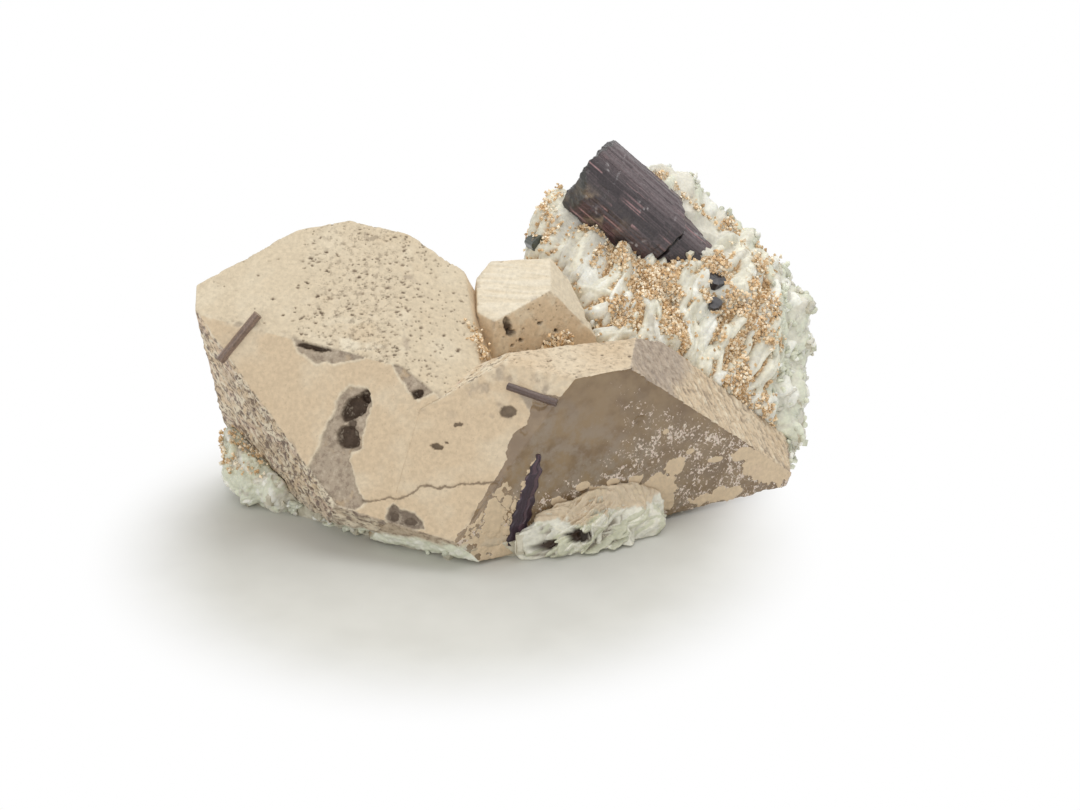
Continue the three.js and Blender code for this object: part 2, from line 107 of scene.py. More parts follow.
def noise(points: Array, size: float, seed: int) -> Array:
    """Lattice noise from -1 to 1: corner values blended by a soft step.

    Args:
        points: places in mm, shape (n, 3).
        size: width of one cell in mm.
        seed: picks another pattern.

    Returns:
        One value per place.
    """
    q = points / size
    base = np.floor(q)
    t = q - base
    t = t * t * (3.0 - 2.0 * t)
    total = np.zeros(len(points))
    for corner in range(8):
        step = np.array([corner & 1, (corner >> 1) & 1, corner >> 2])
        weight = np.prod(np.where(step, t, 1.0 - t), axis=1)
        total += weight * hashed(base + step, seed)
    return total * 2.0 - 1.0


def fractal(points: Array, size: float, seed: int, octaves: int = 4) -> Array:
    """Sum of noise at halving sizes and halving heights, about -1 to 1."""
    total, height, reach = np.zeros(len(points)), 1.0, 0.0
    for octave in range(octaves):
        total += height * noise(points, size * 0.5**octave, seed + octave * 17)
        reach += height
        height *= 0.5
    return total / reach * 1.6


def facing(azimuth: float, elevation: float) -> Array:
    """Outward direction of a face; azimuth 0 faces -Y and grows toward +X."""
    a, e = np.radians(azimuth), np.radians(elevation)
    return np.array([np.sin(a) * np.cos(e), -np.cos(a) * np.cos(e), np.sin(e)])


def outline_distance(places: Array, outline: Array) -> Array:
    """Distance from an outline in its own plane, negative inside it.

    The nearest point of every side is found by clamping the projection on
    it; the sign comes from counting crossings of a ray to the right.

    Args:
        places: (n, 2) places in mm.
        outline: (k, 2) corners in order.

    Returns:
        Signed distance in mm.
    """
    nearest = np.full(len(places), 1e9)
    inside = np.zeros(len(places), bool)
    for a, b in zip(outline, np.roll(outline, -1, axis=0)):
        side, rel = b - a, places - a
        t = np.clip((rel @ side) / max(side @ side, 1e-9), 0.0, 1.0)
        nearest = np.minimum(nearest, np.hypot(*(rel - t[:, None] * side).T))
        crosses = (a[1] > places[:, 1]) != (b[1] > places[:, 1])
        x = a[0] + (places[:, 1] - a[1]) / (b[1] - a[1] + 1e-12) * side[0]
        inside ^= crosses & (places[:, 0] < x)
    return np.where(inside, -nearest, nearest)


def line_distance(places: Array, line: Array) -> Array:
    """Distance from an open line of points, in mm."""
    nearest = np.full(len(places), 1e9)
    for a, b in zip(line[:-1], line[1:]):
        side, rel = b - a, places - a
        t = np.clip((rel @ side) / max(side @ side, 1e-9), 0.0, 1.0)
        nearest = np.minimum(nearest, np.hypot(*(rel - t[:, None] * side).T))
    return nearest


# Mesh helpers


def make_mesh(
    name: str,
    corners: Array,
    faces: Array,
    values: dict[str, Array] | None = None,
    tints: Array | None = None,
    soft: bool = True,
) -> bpy.types.Object:
    """Put corners (mm) and faces into a new object at the origin.

    Args:
        name: piece name.
        corners: (n, 3) mm.
        faces: (m, 3) or (m, 4) corner indices.
        values: plain numbers per corner, by attribute name.
        tints: (n, 3) colour per corner, kept as attribute "tint".
        soft: smooth shading.

    Returns:
        The new object.
    """
    mesh = bpy.data.meshes.new(name)
    count, side = faces.shape
    mesh.vertices.add(len(corners))
    mesh.vertices.foreach_set("co", (corners * MM).astype(np.float32).ravel())
    mesh.loops.add(count * side)
    mesh.loops.foreach_set("vertex_index", faces.astype(np.int32).ravel())
    mesh.polygons.add(count)
    mesh.polygons.foreach_set("loop_start", np.arange(count, dtype=np.int32) * side)
    mesh.polygons.foreach_set("use_smooth", np.full(count, soft))
    mesh.update(calc_edges=True)
    for key, numbers in (values or {}).items():
        layer = mesh.attributes.new(key, "FLOAT", "POINT")
        layer.data.foreach_set("value", numbers.astype(np.float32))
    if tints is not None:
        layer = mesh.attributes.new("tint", "FLOAT_COLOR", "POINT")
        layer.data.foreach_set("color", np.c_[tints, np.ones(len(tints))].astype(np.float32).ravel())
    piece = bpy.data.objects.new(name, mesh)
    bpy.context.scene.collection.objects.link(piece)
    return piece


def grid_faces(rows: int, columns: int, closed: bool = False) -> Array:
    """Four-sided faces of a grid of corners, closed round its columns or not."""
    r = np.arange(rows - 1)[:, None] * columns
    c = np.arange(columns if closed else columns - 1)[None, :]
    nxt = (c + 1) % columns
    return np.stack([r + c, r + nxt, r + columns + nxt, r + columns + c], axis=-1).reshape(-1, 4)


def dress(piece: bpy.types.Object, finish: bpy.types.Material, slot: str | None = None) -> None:
    """Give a piece its finish and, when a slot is given, let it ride on the specimen."""
    piece.data.materials.clear()
    piece.data.materials.append(finish)
    if slot:
        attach(piece, "root")
    LOG.info("%s: %d faces", piece.name, len(piece.data.polygons))


# Finishes


class Graph:
    """Small builder for a node material on Object coordinates."""

    def __init__(self, name: str) -> None:
        """Start an empty node material."""
        self.material = bpy.data.materials.new(name)
        self.material.use_nodes = True
        self.tree = self.material.node_tree
        self.tree.nodes.clear()
        self.out = self.tree.nodes.new("ShaderNodeOutputMaterial")
        self.coords = self.tree.nodes.new("ShaderNodeTexCoord").outputs["Object"]

    def node(self, kind: str, inputs: dict | None = None, **settings: object) -> bpy.types.Node:
        """Add a node; inputs may be numbers, colours or other sockets."""
        made = self.tree.nodes.new(kind)
        for key, value in settings.items():
            setattr(made, key, value)
        for key, value in (inputs or {}).items():
            if isinstance(value, bpy.types.NodeSocket):
                self.tree.links.new(value, made.inputs[key])
            else:
                made.inputs[key].default_value = value
        return made

    def noise(self, size: float, detail: float = 3.0, rough: float = 0.55) -> object:
        """Noise whose cells are `size` mm wide."""
        inputs = {"Vector": self.coords, "Scale": 1.0 / (size * MM), "Detail": detail, "Roughness": rough}
        return self.node("ShaderNodeTexNoise", inputs).outputs[0]

    def distance(self, place: tuple) -> object:
        """Distance in metres from a place on the specimen."""
        ends = {0: self.coords, 1: place}
        return self.node("ShaderNodeVectorMath", ends, operation="DISTANCE").outputs["Value"]

    def grey(self, level: object) -> object:
        """A number as a grey colour."""
        return self.node("ShaderNodeCombineColor", {0: level, 1: level, 2: level}).outputs[0]

    def mix(self, factor: object, first: bpy.types.Node, second: bpy.types.Node) -> bpy.types.Node:
        """Mix two shaders by a factor."""
        return self.node("ShaderNodeMixShader", {0: factor, 1: first.outputs[0], 2: second.outputs[0]})

    def value(self, name: str) -> object:
        """Number attribute of the mesh."""
        return self.node("ShaderNodeAttribute", attribute_name=name).outputs["Fac"]

    def tint(self) -> object:
        """Colour attribute of the mesh."""
        return self.node("ShaderNodeAttribute", attribute_name="tint").outputs["Color"]

    def math(self, operation: str, a: object, b: object = 0.0, clamp: bool = False) -> object:
        """One arithmetic step on two numbers or sockets."""
        return self.node("ShaderNodeMath", {0: a, 1: b}, operation=operation, use_clamp=clamp).outputs[0]

    def span(self, value: object, low: float, high: float, least: float = 0.0, most: float = 1.0) -> object:
        """Soft remap of a number from low..high to least..most."""
        return self.node(
            "ShaderNodeMapRange",
            {"Value": value, "From Min": low, "From Max": high, "To Min": least, "To Max": most},
            interpolation_type="SMOOTHSTEP",
        ).outputs[0]

    def blend(self, factor: object, a: object, b: object, kind: str = "MIX") -> object:
        """Blend two colours by a factor."""
        made = self.node("ShaderNodeMix", data_type="RGBA", blend_type=kind)
        for index, value in ((0, factor), (6, a), (7, b)):
            if isinstance(value, bpy.types.NodeSocket):
                self.tree.links.new(value, made.inputs[index])
            else:
                made.inputs[index].default_value = value
        return made.outputs[2]

    def bump(self, height: object, depth: float, strength: float, under: object | None = None) -> object:
        """Bump of `depth` mm from a height."""
        inputs = {"Height": height, "Distance": depth * MM, "Strength": strength}
        if under is not None:
            inputs["Normal"] = under
        return self.node("ShaderNodeBump", inputs).outputs[0]

    def surface(self, shader: object) -> bpy.types.Material:
        """Connect the shader and hand over the material."""
        self.tree.links.new(shader, self.out.inputs["Surface"])
        return self.material


def rgba(colour: tuple) -> tuple:
    """Colour with full cover."""
    return (*colour, 1.0)


@dataclass(frozen=True)
class QuartzFinish:
    """Beige etched skin over bare smoky quartz.

    The corner value "bare" says how bare the crystal is; fine grain decides
    the ragged border between skin and bare stone.
    """

    name: str = "quartz_skin"
    skin_roughness: float = 0.72
    stone_roughness: float = 0.16
    stone_ior: float = 1.544
    stone: tuple = (0.56, 0.39, 0.21)
    stone_deep: tuple = (0.37, 0.235, 0.115)
    milk: tuple = (0.60, 0.48, 0.35)
    # colour of the painted shade in the hollows of the torn grain
    torn: tuple = (0.15, 0.105, 0.075)
    crumb: tuple = (0.72, 0.62, 0.48)
    white: tuple = (0.74, 0.66, 0.55)
    pink: tuple = (0.60, 0.47, 0.40)
    absorb: tuple = (0.62, 0.45, 0.28)
    absorb_density: float = 38.0
    through: float = 0.55

    def material(self) -> bpy.types.Material:
        """Build the node material."""
        g = Graph(self.name)
        fine, grain, broad = g.noise(0.42, 3.0), g.noise(1.0, 4.0), g.noise(7.0, 4.0)
        shade = g.span(grain, 0.28, 0.74, 0.90, 1.07)
        speck = g.span(fine, 0.60, 0.72, 1.0, 0.84)
        both = g.math("MULTIPLY", shade, speck)
        clean = g.blend(1.0, g.tint(), g.grey(both), "MULTIPLY")
        torn = g.noise(1.5, 6.0, 0.7)
        # Painted shade: where the skin is coarse, dark spots stand in for the shade in the hollows of its
        # torn grain.
        hollow = g.math("MULTIPLY", g.span(torn, 0.52, 0.60), g.value("coarse"))
        crumb = g.math("MULTIPLY", g.span(torn, 0.46, 0.38), g.value("coarse"))
        rough = g.blend(g.math("MULTIPLY", hollow, 0.75), clean, rgba(self.torn))
        rough = g.blend(g.math("MULTIPLY", crumb, 0.5), rough, rgba(self.crumb))
        skin = g.node(
            "ShaderNodeBsdfPrincipled",
            {
                "Base Color": rough,
                "Roughness": self.skin_roughness,
                "Specular IOR Level": 0.3,
                "Normal": g.bump(fine, 0.10, 0.5, g.bump(torn, 0.35, 0.55)),
            },
        )
        deep = g.blend(g.span(broad, 0.35, 0.68), rgba(self.stone), rgba(self.stone_deep))
        cloud = g.math("MULTIPLY", g.value("milk"), g.span(g.noise(3.4, 6.0, 0.62), 0.34, 0.66), True)
        stone = g.node(
            "ShaderNodeBsdfPrincipled",
            {
                "Base Color": g.blend(cloud, deep, rgba(self.milk)),
                "Roughness": self.stone_roughness,
                "IOR": self.stone_ior,
                "Transmission Weight": self.through,
                "Normal": g.bump(g.noise(2.4, 3.0), 0.05, 0.5),
            },
        )
        fine_dots = g.math("MULTIPLY", g.noise(0.66, 4.0, 0.68), 0.66)
        dots = g.math("ADD", fine_dots, g.math("MULTIPLY", g.noise(2.1, 3.0), 0.34))
        level = g.math("SUBTRACT", 0.80, g.math("MULTIPLY", g.value("speck"), 0.36))
        dotted = g.span(g.math("SUBTRACT", dots, level), -0.012, 0.012)
        powder = g.node(
            "ShaderNodeBsdfPrincipled",
            {
                "Base Color": g.blend(g.span(fine, 0.35, 0.65), rgba(self.pink), rgba(self.white)),
                "Roughness": 0.7,
                "Normal": g.bump(dots, 0.5, 0.8),
            },
        )
        grainy = g.mix(dotted, stone, powder)
        ragged = g.math("MULTIPLY", g.math("SUBTRACT", g.noise(0.8, 4.0), 0.5), 0.55)
        mixed = g.mix(g.span(g.math("ADD", g.value("bare"), ragged), 0.46, 0.54), skin, grainy)
        inner = {"Color": rgba(self.absorb), "Density": self.absorb_density}
        g.tree.links.new(g.node("ShaderNodeVolumeAbsorption", inner).outputs[0], g.out.inputs["Volume"])
        return g.surface(mixed.outputs[0])


@dataclass(frozen=True)
class StoneFinish:
    """Dull or pearly mineral whose colour comes from the corners."""

    name: str
    roughness: float = 0.5
    grain: float = 0.6
    depth: float = 0.08
    dark: float = 0.80
    light: float = 1.12
    glow: float = 0.0
    coat: float = 0.0
    shine: float = 0.5

    def material(self) -> bpy.types.Material:
        """Build the node material."""
        g = Graph(self.name)
        grain = g.noise(self.grain, 4.0)
        broad = g.noise(self.grain * 6.0, 3.0)
        fleck = g.span(grain, 0.3, 0.72, self.dark, self.light)
        factor = g.math("MULTIPLY", fleck, g.span(broad, 0.3, 0.7, 0.93, 1.05))
        colour = g.blend(1.0, g.tint(), g.grey(factor), "MULTIPLY")
        shader = g.node(
            "ShaderNodeBsdfPrincipled",
            {
                "Base Color": colour,
                "Roughness": self.roughness,
                "Specular IOR Level": self.shine,
                "Coat Weight": self.coat,
                "Subsurface Weight": self.glow,
                "Subsurface Radius": (0.0016, 0.0014, 0.001),
                "Subsurface Scale": 1.0,
                "Normal": g.bump(grain, self.depth, 0.6),
            },
        )
        return g.surface(shader.outputs[0])


@dataclass(frozen=True)
class SolidStoneFinish:
    """Finish of a solid kept as it is: two colours mixed by its own grain, darkened nearly to black with
    painted shade round each given place.
    """

    name: str
    first: tuple
    second: tuple
    size: float = 2.0
    roughness: float = 0.55
    depth: float = 0.2
    shine: float = 0.5
    # Places round which painted shade darkens the solid, and the colour of that shade.
    painted_shade_at: tuple = ()
    dark: tuple = (0.035, 0.024, 0.016)

    def material(self) -> bpy.types.Material:
        """Build the node material."""
        g = Graph(self.name)
        pattern = g.noise(self.size, 5.0)
        fine = g.noise(self.size * 0.25)
        colour = g.blend(g.span(pattern, 0.36, 0.64), rgba(self.first), rgba(self.second))
        for place in self.painted_shade_at:
            colour = g.blend(g.span(g.distance(place), 0.0034, 0.0022), colour, rgba(self.dark))
        shader = g.node(
            "ShaderNodeBsdfPrincipled",
            {
                "Base Color": colour,
                "Roughness": self.roughness,
                "Specular IOR Level": self.shine,
                "Normal": g.bump(fine, self.depth, 0.6),
            },
        )
        return g.surface(shader.outputs[0])


# Quartz


@dataclass(frozen=True)
class Facet:
    """One flat face: direction, reach from the centre, and mesh step, in mm."""

    azimuth: float
    elevation: float
    reach: float
    step: float = 1.2


@dataclass
class Crystal:
    """A crystal as the space inside its faces, meshed face by face."""

    name: str
    centre: tuple
    facets: dict[str, Facet]
    roundness: float = 0.16

    def __post_init__(self) -> None:
        """Work out the planes and the corners where three of them meet."""
        self.names = list(self.facets)
        self.middle = np.array(self.centre) + SHIFT
        self.normals = np.array([facing(f.azimuth, f.elevation) for f in self.facets.values()])
        self.limits = self.normals @ self.middle + np.array([f.reach for f in self.facets.values()])
        corners: list[Array] = []
        count = len(self.names)
        for i in range(count):
            for j in range(i + 1, count):
                for k in range(j + 1, count):
                    rows = self.normals[[i, j, k]]
                    if abs(np.linalg.det(rows)) < 1e-6:
                        continue
                    point = np.linalg.solve(rows, self.limits[[i, j, k]])
                    if np.all(self.normals @ point < self.limits + 1e-6):
                        if not any(np.linalg.norm(point - c) < 1e-4 for c in corners):
                            corners.append(point)
        self.corners = np.array(corners)

    def axes(self, name: str) -> tuple[Array, Array, Array]:
        """Foot of the centre on a face, its rightward and upward directions."""
        f = self.facets[name]
        normal = facing(f.azimuth, f.elevation)
        right = np.array([np.cos(np.radians(f.azimuth)), np.sin(np.radians(f.azimuth)), 0.0])
        return self.middle + normal * f.reach, right, np.cross(normal, right)

    def on_face(self, name: str, points: Array) -> Array:
        """Places on a face as (across, up) in mm from the centre's foot."""
        foot, right, up = self.axes(name)
        rel = points - foot
        return np.c_[rel @ right, rel @ up]

    def depth(self, points: Array, leave_out: tuple = ()) -> Array:
        """How deep places lie inside the crystal, in mm; negative outside."""
        keep = [i for i, n in enumerate(self.names) if n not in leave_out]
        return np.min(self.limits[keep] - points @ self.normals[keep].T, axis=1)

    def on(self, name: str, points: Array) -> Array:
        """True where a place lies on the named face."""
        index = self.names.index(name)
        return np.abs(points @ self.normals[index] - self.limits[index]) < 0.02

    def net(self, neighbours: tuple) -> tuple[Array, Array]:
        """Fine triangles over every face, sharing corners at its edges.

        Each face is a lattice of even triangles clipped to its outline; the
        edges are stepped once and used by both faces that meet there. Most
        of the lattice is left out where a neighbour hides it.

        Args:
            neighbours: crystals that this one has grown into.

        Returns:
            Corner places (n, 3) and triangles (m, 3).
        """
        places: list[Array] = list(self.corners)
        edges: dict[tuple[int, int], list[int]] = {}
        loops: dict[int, list[int]] = {}
        for i, name in enumerate(self.names):
            on = np.where(np.abs(self.corners @ self.normals[i] - self.limits[i]) < 1e-3)[0]
            if len(on) < 3:
                continue
            flat = self.on_face(name, self.corners[on])
            middle = flat.mean(axis=0)
            order = np.argsort(np.arctan2(flat[:, 1] - middle[1], flat[:, 0] - middle[0]))
            loops[i] = [int(v) for v in on[order]]
        steps: dict[tuple[int, int], float] = {}
        for i, loop in loops.items():
            for a, b in zip(loop, loop[1:] + loop[:1]):
                key = (min(a, b), max(a, b))
                steps[key] = min(steps.get(key, 9.0), self.facets[self.names[i]].step)
        for i, loop in loops.items():
            for a, b in zip(loop, loop[1:] + loop[:1]):
                key = (min(a, b), max(a, b))
                if key in edges:
                    continue
                start, end = self.corners[key[0]], self.corners[key[1]]
                parts = max(1, int(np.ceil(np.linalg.norm(end - start) / steps[key])))
                ids = []
                for t in np.arange(1, parts) / parts:
                    ids.append(len(places))
                    places.append(start * (1 - t) + end * t)
                edges[key] = ids
        triangles: list[Array] = []
        for i, loop in loops.items():
            facet = self.facets[self.names[i]]
            rim: list[int] = []
            for a, b in zip(loop, loop[1:] + loop[:1]):
                ids = edges[(min(a, b), max(a, b))]
                rim.append(a)
                rim.extend(ids if a < b else ids[::-1])
            flat_rim = self.on_face(self.names[i], np.array([places[v] for v in rim]))
            low, high = flat_rim.min(axis=0), flat_rim.max(axis=0)
            s = facet.step
            u, v = np.meshgrid(np.arange(low[0], high[0], s), np.arange(low[1], high[1], s * 0.866))
            u = u + np.where(np.arange(u.shape[0]) % 2, s / 2, 0.0)[:, None]
            lattice = np.c_[u.ravel(), v.ravel()]
            keys = np.c_[np.arange(len(lattice)), np.full((len(lattice), 2), i)]
            jitter = np.c_[hashed(keys, 3), hashed(keys, 4)]
            lattice = lattice + (jitter - 0.5) * s * 0.35
            outline = self.on_face(self.names[i], self.corners[loop])
            lattice = lattice[outline_distance(lattice, outline) < -0.55 * s]
            foot, right, up = self.axes(self.names[i])
            inner = foot + lattice[:, :1] * right + lattice[:, 1:] * up
            buried = np.max([other.depth(inner) for other in neighbours], axis=0) > 1.2
            sparse = hashed(np.c_[np.arange(len(lattice)), np.full((len(lattice), 2), i)], 9) > 0.05
            lattice, inner = lattice[~(buried & sparse)], inner[~(buried & sparse)]
            first = len(places)
            places.extend(inner)
            index = np.array(rim + list(range(first, first + len(inner))))
            flat = np.vstack([flat_rim, lattice])
            ring = [(k, (k + 1) % len(rim)) for k in range(len(rim))]
            cut = delaunay_2d_cdt([Vector(p) for p in flat], ring, [], 1, 1e-6)
            source = np.array([o[0] if o else -1 for o in cut[3]])
            tris = np.array([t for t in cut[2] if len(t) == 3])
            tris = source[tris]
            tris = tris[np.all(tris >= 0, axis=1)]
            a, b, c = (flat[tris[:, k]] for k in range(3))
            turn = (b[:, 0] - a[:, 0]) * (c[:, 1] - a[:, 1]) - (b[:, 1] - a[:, 1]) * (c[:, 0] - a[:, 0])
            tris[turn < 0] = tris[turn < 0][:, ::-1]
            triangles.append(index[tris[np.abs(turn) > 1e-9]])
        return np.array(places), np.vstack(triangles)

    def swell(self, points: Array, quiet: tuple = ()) -> tuple[Array, Array]:
        """Direction and depth that soften the edges.

        The direction is the mean of the face directions weighted by
        exp(-distance / roundness); the depth is -roundness * ln(sum of the
        weights), so only points near an edge sink.

        Args:
            points: places on the faces, mm.
            quiet: faces whose edges stay sharp because they are hidden.

        Returns:
            Unit directions (n, 3) and depths (n,) in mm.
        """
        keep = [i for i, n in enumerate(self.names) if n not in quiet]
        gap = np.maximum(self.limits[keep] - points @ self.normals[keep].T, 0.0)
        weight = np.exp(-gap / self.roundness)
        total = weight.sum(axis=1) + 1e-9
        direction = weight @ self.normals[keep]
        direction /= np.linalg.norm(direction, axis=1)[:, None] + 1e-9
        return direction, -self.roundness * np.log(np.maximum(total, 1.0))

    def edge_gap(self, points: Array, quiet: tuple = ()) -> Array:
        """Distance in mm from the nearest edge: the second smallest face gap."""
        keep = [i for i, n in enumerate(self.names) if n not in quiet]
        gap = np.sort(np.abs(self.limits[keep] - points @ self.normals[keep].T), axis=1)
        return gap[:, 1]


class Tone(Enum):
    """Named colours of the specimen, as light reflected (linear)."""

    SKIN = (0.63, 0.495, 0.335)
    SKIN_TOP = (0.64, 0.545, 0.395)
    SKIN_PALE = (0.74, 0.655, 0.50)
    SKIN_WARM = (0.55, 0.39, 0.22)
    CHIP = (0.40, 0.325, 0.245)
    # painted shade: the dark insides of holes, deep pits and cavities
    HOLE_SHADE = (0.055, 0.032, 0.020)
    # painted shade in pits and along the crack of the front face
    PIT_SHADE = (0.20, 0.145, 0.095)
    CRUST = (0.62, 0.55, 0.44)
    PINK = (0.52, 0.36, 0.32)
    STREAK = (0.33, 0.265, 0.20)
    ALBITE = (0.80, 0.77, 0.64)
    ALBITE_GREEN = (0.70, 0.71, 0.57)
    ALBITE_WHITE = (0.86, 0.85, 0.76)
    ALBITE_GREY = (0.70, 0.67, 0.57)
    TAN = (0.75, 0.54, 0.31)
    TAN_DARK = (0.58, 0.38, 0.19)
    TAN_PALE = (0.86, 0.71, 0.50)
    TAN_CREAM = (0.90, 0.80, 0.62)
    SMOKE = (0.20, 0.155, 0.115)
    STRIP_PIT = (0.17, 0.125, 0.105)
    FOOT_PIT = (0.20, 0.15, 0.12)
    INCLUSION = (0.10, 0.13, 0.13)
    WORN = (0.36, 0.295, 0.245)
    LINE = (0.84, 0.79, 0.67)
    HONEY = (0.64, 0.50, 0.335)
    PRISM = (0.050, 0.040, 0.043)
    # painted sheen on the upper side of the big prism
    PRISM_TOP_SHEEN = (0.165, 0.128, 0.132)
    PRISM_EDGE = (0.15, 0.065, 0.068)
    PRISM_LINE = (0.155, 0.118, 0.122)
    PRISM_RUST = (0.27, 0.21, 0.15)
    PRISM_SCUFF = (0.40, 0.37, 0.37)
    PRISM_PINK = (0.44, 0.26, 0.26)
    PRISM_END = (0.046, 0.048, 0.043)
    PRISM_END_PALE = (0.13, 0.137, 0.123)
    BLACK = (0.018, 0.014, 0.017)
    GREEN = (0.060, 0.070, 0.055)
    ROD = (0.20, 0.135, 0.10)
    ROD_DARK = (0.115, 0.075, 0.062)
    SLIVER = (0.035, 0.018, 0.030)
    SLIVER_PALE = (0.085, 0.045, 0.060)

    @property
    def rgb(self) -> Array:
        """The colour as an array."""
        return np.array(self.value)


@dataclass
class Relief:
    """Height and colour of a crystal's surface, filled in step by step."""

    points: Array
    height: Array = field(init=False)
    tint: Array = field(init=False)
    bare: Array = field(init=False)
    milk: Array = field(init=False)
    speck: Array = field(init=False)
    coarse: Array = field(init=False)

    def __post_init__(self) -> None:
        """Start flat, beige and covered."""
        n = len(self.points)
        self.height, self.bare, self.milk, self.speck, self.coarse = np.zeros((5, n))
        self.tint = np.tile(Tone.SKIN.rgb, (n, 1))

    def paint(self, tone: Tone, amount: Array) -> None:
        """Blend a tone in by an amount from 0 to 1."""
        a = np.clip(amount, 0.0, 1.0)[:, None]
        self.tint = self.tint * (1 - a) + tone.rgb * a

    def roughen(self, amount: Array) -> None:
        """Raise the share of torn grain to at least an amount."""
        self.coarse = np.maximum(self.coarse, amount)

    def sink(self, depth: float | Array, amount: Array) -> None:
        """Lower the surface by a depth in mm, by an amount from 0 to 1."""
        self.height = self.height - depth * np.clip(amount, 0.0, 1.0)


# Outlines and lines on the long front face: across, up in mm
MAIN_CHIP = np.array([
    [0.4, 1.9], [-1.8, -0.1], [-2.7, -3.6], [-4.3, -7.8], [-6.2, -13.6], [-7.6, -17.4],
    [-3.8, -23.2], [-1.2, -25.5], [3.7, -25.5], [5.9, -23.8], [3.8, -20.5], [2.8, -17.7],
    [1.6, -14.4], [4.4, -11.2], [4.5, -8.9], [4.8, -4.4], [6.0, -0.9], [4.6, 1.5],
])
EDGE_CHIP = np.array([
    [-14.1, 12.2], [-11.8, 9.0], [-7.3, 6.3], [-3.4, 7.3], [3.1, 8.6], [3.4, 10.2], [-3.6, 11.4],
])
CORNER_CHIP = np.array([[10.0, 7.3], [14.1, 2.1], [17.0, 0.1], [19.7, 2.1], [18.6, 4.6], [13.4, 8.4]])
LOW_PATCH = np.array([
    [11.5, -26.9], [15.2, -29.8], [20.0, -28.9], [19.6, -27.4],
    [18.1, -25.7], [14.3, -24.6], [12.6, -23.7], [11.6, -24.9],
])
CRACK = np.array([
    [5.6, -23.6], [8.2, -23.3], [11.1, -22.4], [15.5, -21.6],
    [18.3, -19.4], [21.3, -19.4], [27.7, -18.0], [36.0, -16.9],
])
SKIN_BORDER = np.array([
    [43.2, 3.2], [42.3, -1.2], [41.6, -3.5], [39.9, -4.5], [38.5, -7.3], [37.9, -11.6],
    [34.5, -17.4], [27.9, -30.5], [30.0, -34.0], [60.0, -34.0], [60.0, 3.0],
])
BARE_WINDOW = np.array([[38.6, 3.6], [49.0, 1.2], [45.2, -6.8], [41.3, -5.6], [42.7, -0.7], [40.6, 1.4]])
LOW_BEIGE = np.array([[30.5, -30.5], [33.5, -24.5], [36.5, -25.5], [38.5, -33.0], [31.0, -34.0]])
# Outline, depth in mm and pattern seed of each flake broken out
FRONT_CHIPS = ((MAIN_CHIP, 0.75, 5), (EDGE_CHIP, 0.55, 6), (CORNER_CHIP, 0.55, 7), (LOW_PATCH, 0.6, 8))
# Holes in the front face: across, up, half-width, half-height, turn, depth
FRONT_HOLES = (
    (1.6, -2.8, 4.1, 2.5, 48, 3.2),
    (4.2, -0.2, 1.7, 1.5, 0, 1.8),
    (0.9, -9.6, 3.4, 2.9, -40, 2.6),
    (1.6, -6.6, 1.2, 1.0, 20, 1.0),
    (-8.6, 10.3, 4.3, 1.1, -7, 1.6),
    (16.2, 1.4, 1.6, 1.2, 0, 1.6),
    (21.5, -10.1, 1.9, 0.6, 5, 0.9),
    (37.4, -0.9, 1.9, 1.9, 0, 0.8),
    (13.2, -26.6, 1.3, 1.3, 0, 1.1),
    (17.2, -27.6, 1.5, 1.0, 0, 1.0),
    (-27.9, 4.2, 1.3, 0.5, 30, 0.5),
    (26.3, -4.8, 1.0, 0.5, 0, 0.4),
    (24.0, -9.2, 0.6, 0.3, 0, 0.3),
)
# Holes in the small crystal's front: across, up, half-width, half-height, turn
MIDDLE_HOLES = (
    (-7.4, 10.6, 1.1, 2.4, 12),
    (-6.6, 8.6, 1.3, 0.9, 0),
    (3.0, 4.3, 1.2, 1.0, 30),
    (1.0, 9.9, 0.6, 0.5, 0),
    (-3.9, 6.6, 0.5, 0.35, 0),
    (5.2, 7.4, 0.5, 0.4, 0),
    (-6.2, 5.4, 0.5, 0.3, 0),
)
# Beige crust left on the smoky face: across, up, half-width, half-height
CRUST_PATCHES = (
    (-20.0, -15.0, 6.0, 3.2), (-11.0, -9.5, 4.6, 3.0), (-4.0, -11.0, 3.4, 2.2), (7.0, -13.5, 3.6, 4.6),
    (35.0, -12.0, 5.0, 3.6), (40.0, -14.5, 5.0, 4.0), (24.0, -17.5, 7.5, 1.9), (-38.0, -10.0, 2.6, 5.0),
    (-34.5, -18.5, 5.0, 2.6), (-27.0, -16.0, 3.6, 2.4), (10.0, -6.5, 2.4, 2.0), (30.0, -7.5, 3.0, 1.6),
    (-15.0, -6.2, 1.8, 1.0), (-7.0, -6.6, 2.6, 1.2), (-1.0, -7.6, 2.2, 1.3), (3.5, -9.5, 2.8, 1.8),
    (14.0, -3.2, 1.0, 0.7), (21.0, -7.0, 1.8, 1.0), (6.5, 3.5, 0.9, 0.7), (-21.0, -8.6, 1.8, 1.2),
)
# Line on the smoky face along the sliver, where crust is left
SLIVER_BORDER = np.array([[-27.5, 5.1], [-30.1, -0.6], [-33.4, -9.5], [-35.2, -17.1]])


def bowl(places: Array, across: float, up: float, wide: float, tall: float, turn: float = 0.0) -> Array:
    """Round hollow: 1 at its middle, 0 at and beyond its rim.

    The value is 1 minus the squared distance measured in half-widths.

    Args:
        places: (n, 2) mm on a face.
        across: middle, mm.
        up: middle, mm.
        wide: half-width, mm.
        tall: half-height, mm.
        turn: degrees the hollow is turned by.

    Returns:
        Values from 0 to 1.
    """
    a = np.radians(turn)
    x, y = places[:, 0] - across, places[:, 1] - up
    u, v = (x * np.cos(a) + y * np.sin(a)) / wide, (-x * np.sin(a) + y * np.cos(a)) / tall
    return np.clip(1.0 - u * u - v * v, 0.0, 1.0)


def scattered(
    rng: object, count: int, across: tuple, up: tuple, wide: tuple, powers: tuple = (1, 1, 3)
) -> Array:
    """Random pits as (across, up, half-width); each span is a start and a length."""
    spans = zip((across, up, wide), powers)
    return np.stack([start + reach * rng.random(count) ** power for (start, reach), power in spans], axis=1)


